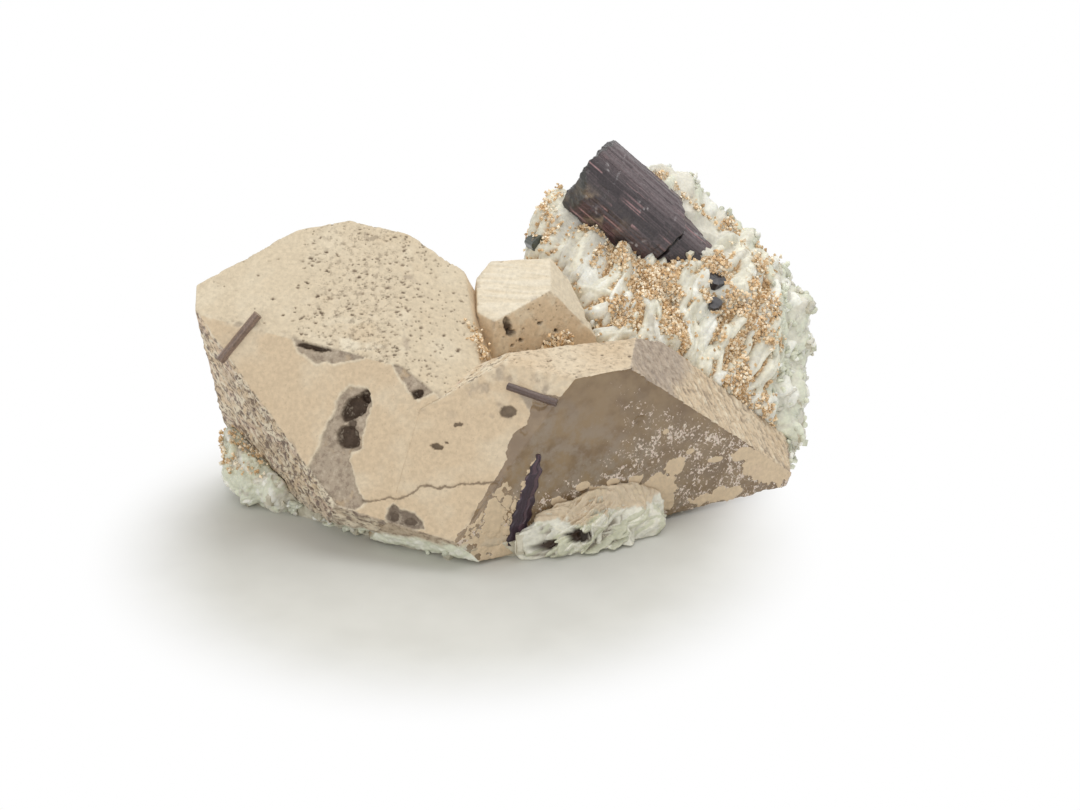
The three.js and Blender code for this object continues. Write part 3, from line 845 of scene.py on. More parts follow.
def shape_front(relief: Relief, places: Array, on: Array) -> None:
    """Shape the long front face: chips, holes, crack and the skin's border.

    Args:
        relief: surface that is shaped.
        places: (across, up) of every corner in the left crystal's front frame.
        on: True where a corner lies on the front face.
    """
    p = relief.points
    wander = np.c_[fractal(p, 3.0, 71), fractal(p, 3.0, 72)] * 0.55
    wander = wander + np.c_[fractal(p, 0.9, 73), fractal(p, 0.9, 74)] * 0.25
    q = places + wander
    use = on.astype(float)
    for outline, depth, seed in FRONT_CHIPS:
        inside = smooth(0.18, -0.18, outline_distance(q, outline)) * use
        relief.sink(depth, inside)
        relief.height += inside * 0.30 * fractal(p, 3.4, 40 + seed)
        near_rim = smooth(0.75, 0.2, np.abs(outline_distance(q, outline)))
        relief.paint(Tone.SKIN_PALE, near_rim * use * 0.65)
        relief.paint(Tone.CHIP, inside * 0.95)
        relief.roughen(inside * 0.55)
        relief.paint(Tone.SKIN_WARM, inside * smooth(0.25, 0.9, fractal(p, 2.2, 60 + seed)) * 0.5)
    for across, up, wide, tall, turn, depth in FRONT_HOLES:
        cup = bowl(q, across, up, wide, tall, turn) * use
        relief.sink(depth, np.sqrt(cup) * smooth(0.0, 0.3, cup))
        # Painted shade: the inside of every hole is darkened nearly to black.
        relief.paint(Tone.HOLE_SHADE, smooth(0.05, 0.35, cup) * (0.92 if depth > 1.5 else 0.75))
    relief.paint(Tone.SMOKE, smooth(0.5, -0.1, outline_distance(q, LOW_PATCH)) * use * 0.9)
    track = line_distance(q, CRACK)
    # Painted shade: the crack is sunk and its line darkened.
    relief.sink(0.28, smooth(0.42, 0.0, track) * use)
    relief.paint(Tone.PIT_SHADE, smooth(0.34, 0.10, track) * use * 0.85)
    border = outline_distance(q, SKIN_BORDER)
    window = outline_distance(q, BARE_WINDOW)
    relief.bare = np.maximum(relief.bare, smooth(0.35, -0.35, border) * use)
    relief.paint(Tone.CHIP, smooth(0.3, -0.3, window) * use)
    left_on = outline_distance(q, LOW_BEIGE) + 1.2 * fractal(p, 1.6, 77)
    relief.bare *= 1.0 - smooth(0.6, -0.6, left_on) * 0.9


@dataclass
class Quartz:
    """The three intergrown crystals."""

    finish: QuartzFinish = QuartzFinish()
    left: Crystal = field(init=False)
    right: Crystal = field(init=False)
    middle: Crystal = field(init=False)

    def __post_init__(self) -> None:
        """Set the faces of the three crystals, as in the solids."""
        self.left = Crystal("quartz_left", (-36, -16, 30), {
            "front": Facet(-11.0, 23.0, 15.2, 0.30),
            "pitted_top": Facet(-1.7, 54.4, 17.8, 0.30),
            "right_top": Facet(24.7, 51.9, 19.9, 0.38),
            "lower_left": Facet(-55.0, -19.4, 22.6, 0.30),
            "under_front": Facet(-24.5, -39.2, 29.1, 0.38),
            "left_end": Facet(-87.7, -2.6, 37.4, 0.8),
            "back_left": Facet(-144.5, 15.0, 33.3, 0.9),
            "back_shoulder": Facet(-164.6, 35.0, 38.6, 0.8),
            "back_top": Facet(160.3, 32.0, 35.1, 0.8),
            "back_right": Facet(153.8, 12.0, 26.8, 0.9),
            "shared_smoky": Facet(28.5, -5.9, 40.0, 1.5),
            "grown_in": Facet(80.0, 25.0, 30.0, 1.5),
            "seat": Facet(180.0, -90.0, 26.0, 2.5),
        })
        self.right = Crystal("quartz_right", (22, -14, 22), {
            "front": Facet(-11.0, 23.0, 30.3, 0.28),
            "smoky": Facet(28.5, -5.9, 13.4, 0.27),
            "shoulder": Facet(-9.9, 26.0, 30.4, 0.30),
            "top": Facet(30.5, 77.8, 23.1, 0.32),
            "bevel": Facet(73.5, 40.6, 19.1, 0.30),
            "left_crest": Facet(-95.0, 60.0, 31.5, 0.4),
            "behind_crest": Facet(-160.4, 56.4, 16.9, 0.6),
            "back": Facet(169.3, 35.0, 18.7, 0.9),
            "back_low": Facet(178.0, 8.0, 27.0, 1.5),
            "tip": Facet(92.4, -13.8, 48.1, 0.5),
            "under_front": Facet(-24.5, -39.2, 44.1, 0.38),
            "grown_in": Facet(-80.0, 20.0, 48.0, 1.5),
            "seat": Facet(180.0, -90.0, 21.0, 2.5),
        })
        self.middle = Crystal("quartz_middle", (2, -5, 36), {
            "top": Facet(-14.1, 58.6, 15.7, 0.28),
            "front": Facet(25.9, -2.2, 4.4, 0.28),
            "right_bevel": Facet(69.6, 31.5, 14.4, 0.30),
            "left_low": Facet(-37.2, 1.7, 12.0, 0.35),
            "left": Facet(-82.4, 8.0, 14.0, 0.45),
            "left_back": Facet(-123.8, 12.0, 15.6, 0.6),
            "back": Facet(175.7, 20.0, 13.8, 0.8),
            "back_right": Facet(127.0, 10.0, 15.5, 0.8),
            "seat": Facet(180.0, -90.0, 21.0, 3.0),
        })

    def everywhere(self, relief: Relief, crystal: Crystal, quiet: tuple) -> None:
        """Grain, patchy tone and wear that every face has."""
        p = relief.points
        relief.height += 0.07 * fractal(p, 7.0, 11) + 0.035 * fractal(p, 1.3, 12, 3)
        patch = fractal(p, 9.0, 21)
        relief.paint(Tone.SKIN_PALE, smooth(0.15, 0.9, patch) * 0.35)
        relief.paint(Tone.SKIN_WARM, smooth(-0.25, -0.95, patch) * 0.22)
        gap = crystal.edge_gap(p, quiet)
        nick = smooth(0.35, 0.8, fractal(p, 2.6, 31)) * smooth(1.1, 0.15, gap)
        relief.sink(0.30, nick)
        relief.paint(Tone.SKIN_PALE, smooth(0.7, 0.1, gap) * smooth(-0.2, 0.6, fractal(p, 1.8, 32)) * 0.35)
        relief.paint(Tone.CHIP, nick * 0.7)

    @staticmethod
    def weathered(relief: Relief, on: Array) -> None:
        """Rear faces: dull hollows and an albite crust near the foot."""
        p = relief.points
        relief.height += on * smooth(-74.0, -68.0, p[:, 0]) * 0.16 * fractal(p, 3.4, 85)
        dull = on * smooth(0.30, 0.75, fractal(p, 3.0, 84, 3))
        relief.sink(0.30, dull)
        relief.paint(Tone.CHIP, dull * 0.6)
        low = on * smooth(-66.0, -62.0, p[:, 0]) * smooth(26.0, 8.0, p[:, 2])
        crust = low * smooth(0.25, 0.60, fractal(p, 4.0, 83, 2) + 0.7 * smooth(22.0, 4.0, p[:, 2]))
        relief.height += 0.35 * crust * (1.0 + fractal(p, 1.2, 82))
        relief.paint(Tone.ALBITE_GREEN, crust)
        relief.paint(Tone.ALBITE_WHITE, crust * smooth(-0.2, 0.6, fractal(p, 1.6, 81)))

    def depth(self, place: Array) -> Array:
        """Depth of places inside the nearest of the three crystals, mm."""
        return np.max([c.depth(place) for c in (self.left, self.right, self.middle)], axis=0)

    def pits(
        self, relief: Relief, places: Array, on: Array, spots: Array, deep: float, flat: float = 0.5
    ) -> None:
        """Etch pits: each is a small bowl, wider than tall, darkened by painted shade that is deepest at its
        middle.

        Args:
            relief: surface that is shaped.
            places: (across, up) in the face's frame.
            on: True on that face.
            spots: (k, 3) across, up and half-width of each pit, mm.
            deep: depth in mm.
            flat: height of a pit as a share of its width.
        """
        index = np.where(on)[0]
        p = relief.points[index]
        q = places[index] + 0.22 * np.c_[fractal(p, 0.8, 81), fractal(p, 0.8, 82)]
        total = np.zeros(len(index))
        for number, (across, up, wide) in enumerate(spots):
            near = np.where((np.abs(q[:, 0] - across) < wide * 1.4) & (np.abs(q[:, 1] - up) < wide * 1.4))[0]
            if len(near):
                share = 0.16 + 0.84 * (((number * 61) % 97) / 97.0) ** 2
                cup = bowl(q[near], across, up, wide, wide * flat, (number * 37) % 30 - 15)
                total[near] = np.maximum(total[near], share * cup)
        full = np.zeros(len(on))
        full[index] = total
        relief.sink(deep, np.sqrt(full))
        # Painted shade: every pit is darkened brown, and nearly black where it is deepest.
        relief.paint(Tone.PIT_SHADE, smooth(0.02, 0.45, full) * 0.9)
        relief.paint(Tone.HOLE_SHADE, smooth(0.35, 0.9, full) * 0.6)

    def build_left(self) -> bpy.types.Object:
        """Mesh of the left crystal."""
        c = self.left
        points, faces = c.net((self.right, self.middle))
        quiet = ("shared_smoky", "grown_in")
        relief = Relief(points)
        pitted, low, under = (c.on(name, points) for name in ("pitted_top", "lower_left", "under_front"))
        relief.paint(Tone.SKIN_TOP, (pitted | c.on("right_top", points)) * 0.8)
        self.everywhere(relief, c, quiet)
        rng = np.random.default_rng(5)
        at = c.on_face("pitted_top", points)
        many = 950
        dense = scattered(rng, many, (9.5, -25), (-4, 42), (0.17, 0.58), (1.3, 1.15, 3))
        sparse = scattered(rng, 260, (-36, 44), (-6, 46), (0.14, 0.45))
        self.pits(relief, at, pitted, np.vstack([dense, sparse]), 0.34, 0.5)
        beside, near_top = c.on_face("right_top", points), c.on("right_top", points)
        away = c.limits[1] - points @ c.normals[1]
        weight = near_top * np.exp(-away / 3.0)
        chosen = rng.choice(len(points), 460, replace=False, p=weight / weight.sum())
        spots = np.c_[beside[chosen], 0.13 + 0.45 * rng.random(460) ** 3]
        self.pits(relief, beside, near_top, spots, 0.3, 0.6)
        relief.roughen(pitted * 0.55 * smooth(-18.0, -4.0, at[:, 0]) * smooth(9.0, 5.0, at[:, 0]))
        pale = smooth(0.0, 0.7, fractal(points * np.array([1, 1, 2.0]), 4.0, 90)) * pitted
        pale = pale * smooth(15, 3, at[:, 1]) * smooth(-16, -2, at[:, 0]) * smooth(9, 5, at[:, 0])
        relief.paint(Tone.SKIN_PALE, pale * 0.95)
        spots = scattered(rng, 760, (-16, 32), (-26, 52), (0.25, 0.85), (1, 1, 2))
        self.pits(relief, c.on_face("lower_left", points), low, spots, 0.7, 0.7)
        relief.height += low * 0.35 * fractal(points, 2.2, 93)
        relief.paint(Tone.CHIP, low * smooth(-0.3, 0.5, fractal(points, 3.0, 94)) * 0.45)
        relief.paint(Tone.PINK, low * smooth(0.0, 0.7, fractal(points, 4.0, 96)) * 0.4)
        relief.paint(Tone.SKIN_PALE, low * smooth(-0.05, 0.35, fractal(points, 1.7, 89)) * 0.9)
        relief.paint(Tone.STRIP_PIT, low * smooth(0.22, 0.45, fractal(points, 1.1, 88)) * 0.85)
        relief.paint(Tone.CHIP, under * (0.45 + 0.4 * smooth(-0.4, 0.4, fractal(points, 5.0, 97))))
        relief.height += under * 0.45 * fractal(points, 2.6, 95)
        relief.paint(Tone.SKIN_PALE, under * smooth(-0.1, 0.35, fractal(points, 2.0, 87)) * 0.8)
        relief.paint(Tone.FOOT_PIT, under * smooth(0.25, 0.5, fractal(points, 1.2, 86)) * 0.8)
        relief.roughen(low * 1.1 + under * 1.0)
        rear_faces = ("back_left", "back_shoulder", "back_top", "back_right")
        rear = np.any([c.on(name, points) for name in rear_faces], axis=0)
        self.weathered(relief, rear)
        shape_front(relief, c.on_face("front", points), c.on("front", points))
        relief.paint(Tone.CRUST, smooth(9.0, 3.0, points[:, 2]) * 0.5)
        self.albite_lip(relief, under | c.on("front", points))
        same = (c.on("front", points) | under) & (self.right.depth(points, ("front", "under_front")) > 0.1)
        return self.finish_piece(c, relief, faces, same, quiet)

    def build_right(self) -> bpy.types.Object:
        """Mesh of the right crystal with its bare smoky face."""
        c = self.right
        points, faces = c.net((self.left, self.middle))
        quiet = ("grown_in",)
        relief = Relief(points)
        named = ("top", "left_crest", "bevel", "tip", "under_front")
        top, crest, bevel, tip, under = (c.on(name, points) for name in named)
        relief.paint(Tone.SKIN_PALE, (top | c.on("shoulder", points)) * 0.15)
        self.everywhere(relief, c, quiet)
        self.smoky_face(relief, c.on_face("smoky", points), c.on("smoky", points))
        self.bevel_face(relief, c.on_face("bevel", points), bevel)
        rng = np.random.default_rng(8)
        spots = scattered(rng, 380, (-30, 34), (-10, 30), (0.13, 0.50))
        self.pits(relief, c.on_face("top", points), top, spots, 0.3, 0.8)
        relief.height += (crest | top) * 0.22 * fractal(points, 2.0, 44)
        relief.roughen(crest * 1.0 + top * 0.35)
        relief.paint(Tone.SKIN_PALE, crest * smooth(-0.3, 0.5, fractal(points, 1.4, 45)) * 0.8)
        relief.paint(Tone.PINK, crest * smooth(0.3, 0.8, fractal(points, 1.8, 48)) * 0.6)
        self.weathered(relief, c.on("behind_crest", points) | c.on("back", points) | c.on("back_low", points))
        shape_front(relief, self.left.on_face("front", points), c.on("front", points))
        relief.paint(Tone.CHIP, under * 0.7)
        rough = tip | (points[:, 2] < 4.5)
        relief.height += rough * 0.3 * fractal(points, 2.2, 46)
        relief.roughen((tip | under) * 0.8)
        relief.paint(Tone.PINK, smooth(-0.2, 0.5, fractal(points, 2.4, 47)) * tip * 0.8)
        self.albite_lip(relief, under | c.on("front", points))
        return self.finish_piece(c, relief, faces, np.zeros(len(points), bool), quiet)

    @staticmethod
    def albite_lip(relief: Relief, on: Array) -> None:
        """Pale green-white albite crust along the foot of the long front face."""
        p = relief.points
        x = p[:, 0] - SHIFT[0]
        band = 4.6 + 1.6 * smooth(-34.0, -16.0, x)
        lip = smooth(0.6, -0.6, p[:, 2] - band + 0.9 * fractal(p, 3.0, 98))
        lip = lip * smooth(-44.0, -38.0, x) * smooth(-1.0, -4.0, x) * on
        relief.height += lip * (0.35 + 0.50 * fractal(p * np.array([0.5, 1.0, 1.0]), 1.6, 99))
        relief.paint(Tone.ALBITE_GREEN, lip)
        relief.paint(Tone.ALBITE_WHITE, lip * smooth(-0.2, 0.6, fractal(p, 1.8, 100)))
        relief.coarse = relief.coarse * (1 - lip)
        relief.bare = relief.bare * (1 - lip)

    def smoky_face(self, relief: Relief, at: Array, on: Array) -> None:
        """Bare smoky quartz with milky veils, white grains and beige crust.

        Args:
            relief: surface that is shaped.
            at: (across, up) in the smoky face's frame, mm.
            on: True on that face.
        """
        p, use = relief.points, on.astype(float)
        away = at[:, 0] - 0.1 * at[:, 1]
        edge = at[:, 1] + 0.765 * at[:, 0] - 0.2 * np.clip(at[:, 0] - 5.0, 0.0, 40.0)
        region = smooth(-17.0, 1.0, away + 3.0 * fractal(p, 5.0, 101)) * smooth(18.0, 11.5, edge)
        low_side = 0.85 * smooth(-1.0, -6.0, at[:, 1]) * smooth(6.0, -8.0, at[:, 0])
        region = np.maximum(region, low_side * smooth(-0.7, 0.1, fractal(p, 4.0, 108)))
        drift = 0.5 + 0.5 * np.clip(fractal(p, 3.2, 102), -1.0, 1.0)
        share = 0.14 + 0.34 * drift + 0.08 * smooth(0.0, 16.0, at[:, 0])
        relief.speck = use * np.clip(0.33 + region * share, 0.0, 0.80)
        low_left = smooth(-1.0, -6.0, at[:, 1]) * smooth(6.0, -8.0, at[:, 0])
        more = use * 0.16 * low_left * smooth(-0.6, 0.2, fractal(p, 3.0, 104))
        relief.speck = np.minimum(relief.speck + more, 0.80)
        ragged = 1.6 * fractal(p, 3.2, 105) + 1.0 * fractal(p, 1.0, 106)
        crust = np.zeros(len(p))
        for u, v, wide, tall in CRUST_PATCHES:
            beyond = np.hypot((at[:, 0] - u) / wide, (at[:, 1] - v) / tall)
            crust = np.maximum(crust, smooth(0.14, -0.08, beyond - 1.0 + 0.30 * ragged))
        beside = smooth(1.8, 0.4, line_distance(at, SLIVER_BORDER))
        crust = np.maximum(crust, beside * smooth(-0.1, 0.4, fractal(p, 1.1, 107))) * use
        relief.bare = np.where(on, 1.0 - crust, relief.bare)
        relief.height += use * 0.26 * crust
        pink = smooth(0.0, 0.7, fractal(p, 4.0, 109)) * smooth(4.0, 34.0, at[:, 0])
        relief.paint(Tone.PINK, use * pink * 0.5)
        relief.paint(Tone.SKIN, crust * 0.85)
        dark = bowl(at, -1.0, 8.1, 1.8, 1.3) * use
        relief.sink(0.8, dark)
        relief.paint(Tone.INCLUSION, dark)
        veil = smooth(10.0, -16.0, at[:, 0] + 1.1 * at[:, 1] + 5.0 * fractal(p, 9.0, 110))
        relief.milk = use * np.clip(veil + 0.30 * region, 0.0, 1.0)

    def bevel_face(self, relief: Relief, at: Array, on: Array) -> None:
        """Long bevel: torn fibrous streaks down the face, greyer upper right."""
        p, use = relief.points, on.astype(float)
        lean = at[:, 0] * 0.86 - at[:, 1] * 0.50
        along = at[:, 0] * 0.50 + at[:, 1] * 0.86
        drawn = np.c_[lean / 0.60, along / 2.0, np.zeros(len(p))]
        streak = 0.75 * fractal(drawn, 1.0, 121, 3) + 0.45 * fractal(p, 0.9, 123)
        relief.height -= use * (0.32 * streak)
        relief.paint(Tone.STREAK, use * smooth(0.10, 0.65, streak) * 0.80)
        relief.paint(Tone.SKIN_PALE, use * smooth(-0.1, -0.8, streak) * 0.8)
        grey = use * smooth(-5.0, 1.5, at[:, 1] + 2.2 * fractal(p, 4.0, 122))
        grey = grey * smooth(-24.0, -6.0, at[:, 0]) * smooth(36.0, 26.0, at[:, 0])
        relief.paint(Tone.WORN, grey * 0.70)
        relief.roughen(use * 0.45)

    def build_middle(self) -> bpy.types.Object:
        """Mesh of the small pale crystal in the valley."""
        c = self.middle
        points, faces = c.net((self.left, self.right))
        relief = Relief(points)
        top, bevel = c.on("top", points), c.on("right_bevel", points)
        relief.paint(Tone.SKIN_PALE, (top | bevel) * 0.8)
        self.everywhere(relief, c, ("seat",))
        at = c.on_face("top", points)
        lines = fractal(np.c_[at[:, 0] / 7.0, at[:, 1] / 0.7, np.zeros(len(at))], 1.0, 131, 3)
        relief.height += top * 0.12 * lines
        relief.paint(Tone.LINE, top * smooth(-0.6, 0.9, lines) * 0.35)
        relief.paint(Tone.SKIN, top * smooth(0.3, 0.9, -lines) * 0.15)
        front = c.on_face("front", points)
        use = c.on("front", points).astype(float)
        relief.paint(Tone.HONEY, use * 0.80)
        q = front + 0.4 * np.c_[fractal(points, 1.2, 132), fractal(points, 1.2, 133)]
        # Painted shade: each hole is sunk and darkened nearly to black inside.
        for across, up, wide, tall, turn in MIDDLE_HOLES:
            cup = bowl(q, across, up, wide, tall, turn) * use
            relief.sink(1.6, np.sqrt(cup))
            relief.paint(Tone.HOLE_SHADE, smooth(0.05, 0.4, cup) * 0.9)
        rng = np.random.default_rng(14)
        spots = scattered(rng, 150, (-10, 20), (2, 16), (0.10, 0.35))
        self.pits(relief, front, c.on("front", points), spots, 0.3, 0.7)
        relief.roughen(use * 0.45 * smooth(-0.3, 0.4, fractal(points, 3.0, 135)))
        relief.paint(Tone.SKIN_PALE, use * smooth(0.1, 0.7, fractal(points, 2.4, 136)) * 0.5)
        relief.height += bevel * 0.15 * fractal(points * np.array([1, 1, 0.4]), 1.2, 134)
        return self.finish_piece(c, relief, faces, np.zeros(len(points), bool), ("seat",))

    def finish_piece(
        self, c: Crystal, relief: Relief, faces: Array, under: Array, quiet: tuple
    ) -> bpy.types.Object:
        """Move the corners by the relief and make the mesh.

        Args:
            c: the crystal.
            relief: its surface.
            faces: its triangles.
            under: True where it lies just below the same face of a neighbour.
            quiet: faces whose edges stay sharp because they are hidden.

        Returns:
            The closed crystal.
        """
        direction, dip = c.swell(relief.points, quiet)
        moved = relief.points + direction * (relief.height + dip - 0.6 * under)[:, None]
        values = {"bare": relief.bare, "milk": relief.milk, "speck": relief.speck, "coarse": relief.coarse}
        return make_mesh(c.name, moved, faces, values, relief.tint)

    def build(self) -> None:
        """Make the three meshes; together they stand for the quartz solid."""
        finish = self.finish.material()
        for piece in (self.build_left(), self.build_right(), self.build_middle()):
            dress(piece, finish, "quartz")
            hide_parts("quartz_cluster")


# Albite


def capsules(
    middle: Array, run: Array, rise: Array, sizes: Array, bend: Array, shape: tuple, rng: object, rough: float
) -> tuple[Array, Array]:
    """Many closed, pointed capsules in one pair of arrays.

    Each middle line runs along `run` and bends sideways by half a cosine
    wave; the section is an uneven oval; its width follows the fourth root
    of 1 - s^4 from end to end, and both ends close in one corner.

    Args:
        middle: (n, 3) middles, mm.
        run: (n, 3) long directions.
        rise: (n, 3) upward directions.
        sizes: (n, 3) half-length, half-width, half-height, mm.
        bend: (n,) sideways bow, mm.
        shape: how many rings and how many corners a ring has.
        rng: random stream.
        rough: unevenness of the section, as a share of it.

    Returns:
        Corners and three-sided faces.
    """
    rings, turn = shape
    n = len(middle)
    side = np.cross(rise, run)
    s = np.sin(np.linspace(-1, 1, rings + 2) * np.pi / 2)[1:-1]
    angle = np.linspace(0, 2 * np.pi, turn, endpoint=False)
    taper = (1 - s**4) ** 0.5
    line = middle[:, None] + run[:, None] * (s * sizes[:, :1])[..., None]
    line = line + side[:, None] * (bend[:, None] * np.cos(s * np.pi / 2))[..., None]
    wave = 1.0 + rough * rng.normal(size=(n, rings, turn))
    across = np.cos(angle) * sizes[:, 1, None, None] * taper[:, None] * wave
    up = np.sin(angle) * sizes[:, 2, None, None] * taper[:, None] * wave
    body = line[:, :, None] + side[:, None, None] * across[..., None] + rise[:, None, None] * up[..., None]
    ends = np.stack([middle - run * sizes[:, :1], middle + run * sizes[:, :1]], axis=1)
    corners = np.concatenate([body.reshape(n, rings * turn, 3), ends], axis=1)
    k = np.arange(turn)
    nxt = (k + 1) % turn
    faces = [np.stack([np.full(turn, rings * turn), nxt, k], 1)]
    for ring in range(rings - 1):
        a, b = ring * turn, (ring + 1) * turn
        faces.append(np.stack([a + k, a + nxt, b + nxt], 1))
        faces.append(np.stack([a + k, b + nxt, b + k], 1))
    last = (rings - 1) * turn
    faces.append(np.stack([np.full(turn, rings * turn + 1), last + k, last + nxt], 1))
    each = np.vstack(faces)
    size = rings * turn + 2
    return corners.reshape(-1, 3), (np.arange(n)[:, None, None] * size + each[None]).reshape(-1, 3)


def spread_out(place: Array, run: Array, along: float, across: float, limit: int) -> Array:
    """Indices of places that keep an oval's distance from one another.

    A place is taken when no taken place lies nearer than `along` mm in its
    long direction and `across` mm in the other two together.
    """
    taken: list[int] = []
    for index in range(len(place)):
        if len(taken) >= limit:
            break
        if taken:
            gap = place[taken] - place[index]
            far = gap @ run[index]
            rest = np.linalg.norm(gap - far[:, None] * run[index], axis=1)
            if np.any((far / along) ** 2 + (rest / across) ** 2 < 1.0):
                continue
        taken.append(index)
    return np.array(taken)


VALLEY_TUFTS = (
    ((-12.0, -14.2, 47.2), (-9.0, -18.6, 42.9), 150),
    ((-10.6, -15.0, 44.6), (-7.6, -19.6, 41.4), 90),
    ((6.0, -8.6, 39.9), (11.8, -5.9, 41.3), 120),
)
CAVITIES = np.array([[13.6, -38.6, 5.0], [5.4, -40.2, 3.6]])


@dataclass
class Albite:
    """Blades, nodules, plates and crumbs that cover the albite solid."""

    quartz: Quartz
    body: bpy.types.Object
    box: Array
    ridges: int = 620
    nodules: int = 3600
    crumbs: int = 12000
    seed: int = 17

    def __post_init__(self) -> None:
        """Read the solid's triangles once, in mm."""
        mesh = self.body.data
        mesh.calc_loop_triangles()
        corners = np.empty(len(mesh.vertices) * 3, np.float32)
        mesh.vertices.foreach_get("co", corners)
        corners = corners.reshape(-1, 3).astype(float) / MM
        index = np.empty(len(mesh.loop_triangles) * 3, np.int32)
        mesh.loop_triangles.foreach_get("vertices", index)
        self.tri = corners[index.reshape(-1, 3)]
        self.rng = np.random.default_rng(self.seed)

    def scatter(self, count: int, clear: float = 0.3) -> tuple[Array, Array]:
        """Even random places on the solid's open surface.

        A triangle is picked by its area, then a place in it by two random
        numbers folded into the triangle. Places against the quartz, the
        tourmaline or the table are left out.

        Args:
            count: how many places are drawn before any is left out.
            clear: least distance from the quartz, mm.

        Returns:
            Places (n, 3) in mm and outward directions (n, 3).
        """
        a, b, c = self.tri[:, 0], self.tri[:, 1], self.tri[:, 2]
        cross = np.cross(b - a, c - a)
        size = np.linalg.norm(cross, axis=1)
        pick = self.rng.choice(len(size), count, p=size / size.sum())
        r1, r2 = np.sqrt(self.rng.random(count)), self.rng.random(count)
        place = a[pick] * (1 - r1)[:, None] + b[pick] * (r1 * (1 - r2))[:, None]
        place = place + c[pick] * (r1 * r2)[:, None]
        normal = cross[pick] / size[pick][:, None]
        free = (self.quartz.depth(place) < -clear) & (Tourmaline.clearance(place) > 0.4)
        free = free & (normal[:, 2] > -0.75) & (place[:, 2] > 0.4)
        return place[free], normal[free]

    def ground(self, place: Array, normal: Array, cell: float = 6.0) -> Array:
        """Mean direction of the ground under places: mean over cubes of 6 mm."""
        key = np.floor(place / cell).astype(int)
        _, group = np.unique(key, axis=0, return_inverse=True)
        group = group.ravel()
        total = np.stack([np.bincount(group, normal[:, k]) for k in range(3)], axis=1)[group]
        total = total + np.array([0.0, 0.0, 0.15])
        return total / (np.linalg.norm(total, axis=1)[:, None] + 1e-9)

    def slope(self, place: Array) -> Array:
        """1 on the open slope that carries the tan crumbs, 0 at rim and back."""
        ragged = 3.0 * noise(place, 6.0, 9)
        right = smooth(66.0, 60.0, place[:, 0] + ragged + 0.12 * (40.0 - place[:, 2]))
        back = smooth(33.5, 26.5, place[:, 1] + ragged - 0.10 * place[:, 2])
        high = smooth(14.0, 22.0, place[:, 2] + 0.2 * place[:, 0])
        return right * back * high * smooth(-6.0, 0.0, place[:, 0])

    def tuft(self, place: Array) -> Array:
        """1 on the top of the low lump at the left, which has crumbs too."""
        return smooth(-60.0, -64.0, place[:, 0]) * smooth(7.0, 10.0, place[:, 2])

    def flow(self, place: Array, ground: Array) -> Array:
        """Long direction of the blades: rows that fan up the slope."""
        x, z = place[:, 0] - SHIFT[0], place[:, 2]
        fan = 36.0 - 40.0 * np.exp(-(((x - 31.0) / 9.0) ** 2))
        fan = fan + 48.0 * smooth(49.0, 43.0, z) * smooth(26.0, 18.0, x)
        turn = np.radians(fan + 15.0 * noise(place, 11.0, 8))
        up = np.stack([np.sin(turn), 0.55 * np.cos(turn), 0.84 * np.cos(turn)], axis=1)
        up = up + 0.11 * self.rng.normal(size=up.shape)
        up = up - ground * np.sum(up * ground, axis=1)[:, None]
        return up / (np.linalg.norm(up, axis=1)[:, None] + 1e-9)

    def tone(self, place: Array, spread: float) -> Array:
        """Colour by place: creamier on the slope, greener at the rim, uneven."""
        n = len(place)
        slope = self.slope(place)[:, None]
        colour = Tone.ALBITE_GREEN.rgb * (1 - slope) + Tone.ALBITE.rgb * slope
        pick = self.rng.random((n, 1))
        colour = np.where(pick < 0.22, Tone.ALBITE_WHITE.rgb, colour)
        colour = np.where(pick > 0.86, Tone.ALBITE_GREY.rgb, colour)
        return colour * (1 + spread * (self.rng.random((n, 1)) - 0.5))

    def inside_box(self, corners: Array) -> Array:
        """Keep corners within the solids' box and off the table."""
        low, high = self.box
        return np.clip(corners, np.maximum(low, [-999.0, -999.0, 0.05]), high)

    def outer_reach(self, heart: Array, steep: Array, wide: Array, cap: float) -> Array:
        """How far the solid reaches from a point inside it, direction by direction.

        Many random places on the solid are sorted into cells of elevation
        and azimuth; a cell keeps its farthest place. Empty cells are filled
        from their neighbours, every cell takes the greatest of the nine
        round it, and the whole is softened.

        Args:
            heart: the point inside, mm.
            steep: elevations of the cell middles, radians.
            wide: azimuths of the cell middles, radians, going all the way round.
            cap: greatest reach that counts, mm.

        Returns:
            Reach in mm, shape (len(steep), len(wide)).
        """
        place, _ = self.scatter(900000, -2.0)
        rel = place - heart
        far = np.linalg.norm(rel, axis=1)
        rel, far = rel[far < cap * 1.3], far[far < cap * 1.3]
        high = np.arcsin(rel[:, 2] / far)
        round_ = (np.arctan2(rel[:, 0], -rel[:, 1]) - wide[0]) % (2 * np.pi) + wide[0]
        row = np.clip(np.searchsorted(steep, high), 0, len(steep) - 1)
        column = np.clip(np.searchsorted(wide, round_), 0, len(wide) - 1)
        reach = np.zeros((len(steep), len(wide)))
        np.maximum.at(reach, (row, column), np.minimum(far, cap))
        for _ in range(12):
            near = np.stack([np.roll(reach, s, axis=k) for s in (-1, 1) for k in (0, 1)])
            mean = near.sum(axis=0) / np.maximum((near > 0).sum(axis=0), 1)
            reach = np.where(reach > 0, reach, mean)
        steps = [(s, t) for s in (-1, 0, 1) for t in (-1, 0, 1)]
        reach = np.max([np.roll(reach, step, axis=(0, 1)) for step in steps], axis=0)
        return self.softened(reach, 5)

    @staticmethod
    def softened(values: Array, times: int) -> Array:
        """Grid of values blurred a few times by 1-2-1 in both directions."""
        for _ in range(times):
            tall = np.pad(values, ((1, 1), (0, 0)), mode="edge")
            values = (tall[:-2] + 2 * tall[1:-1] + tall[2:]) / 4
            values = (np.roll(values, 1, axis=1) + 2 * values + np.roll(values, -1, axis=1)) / 4
        return values

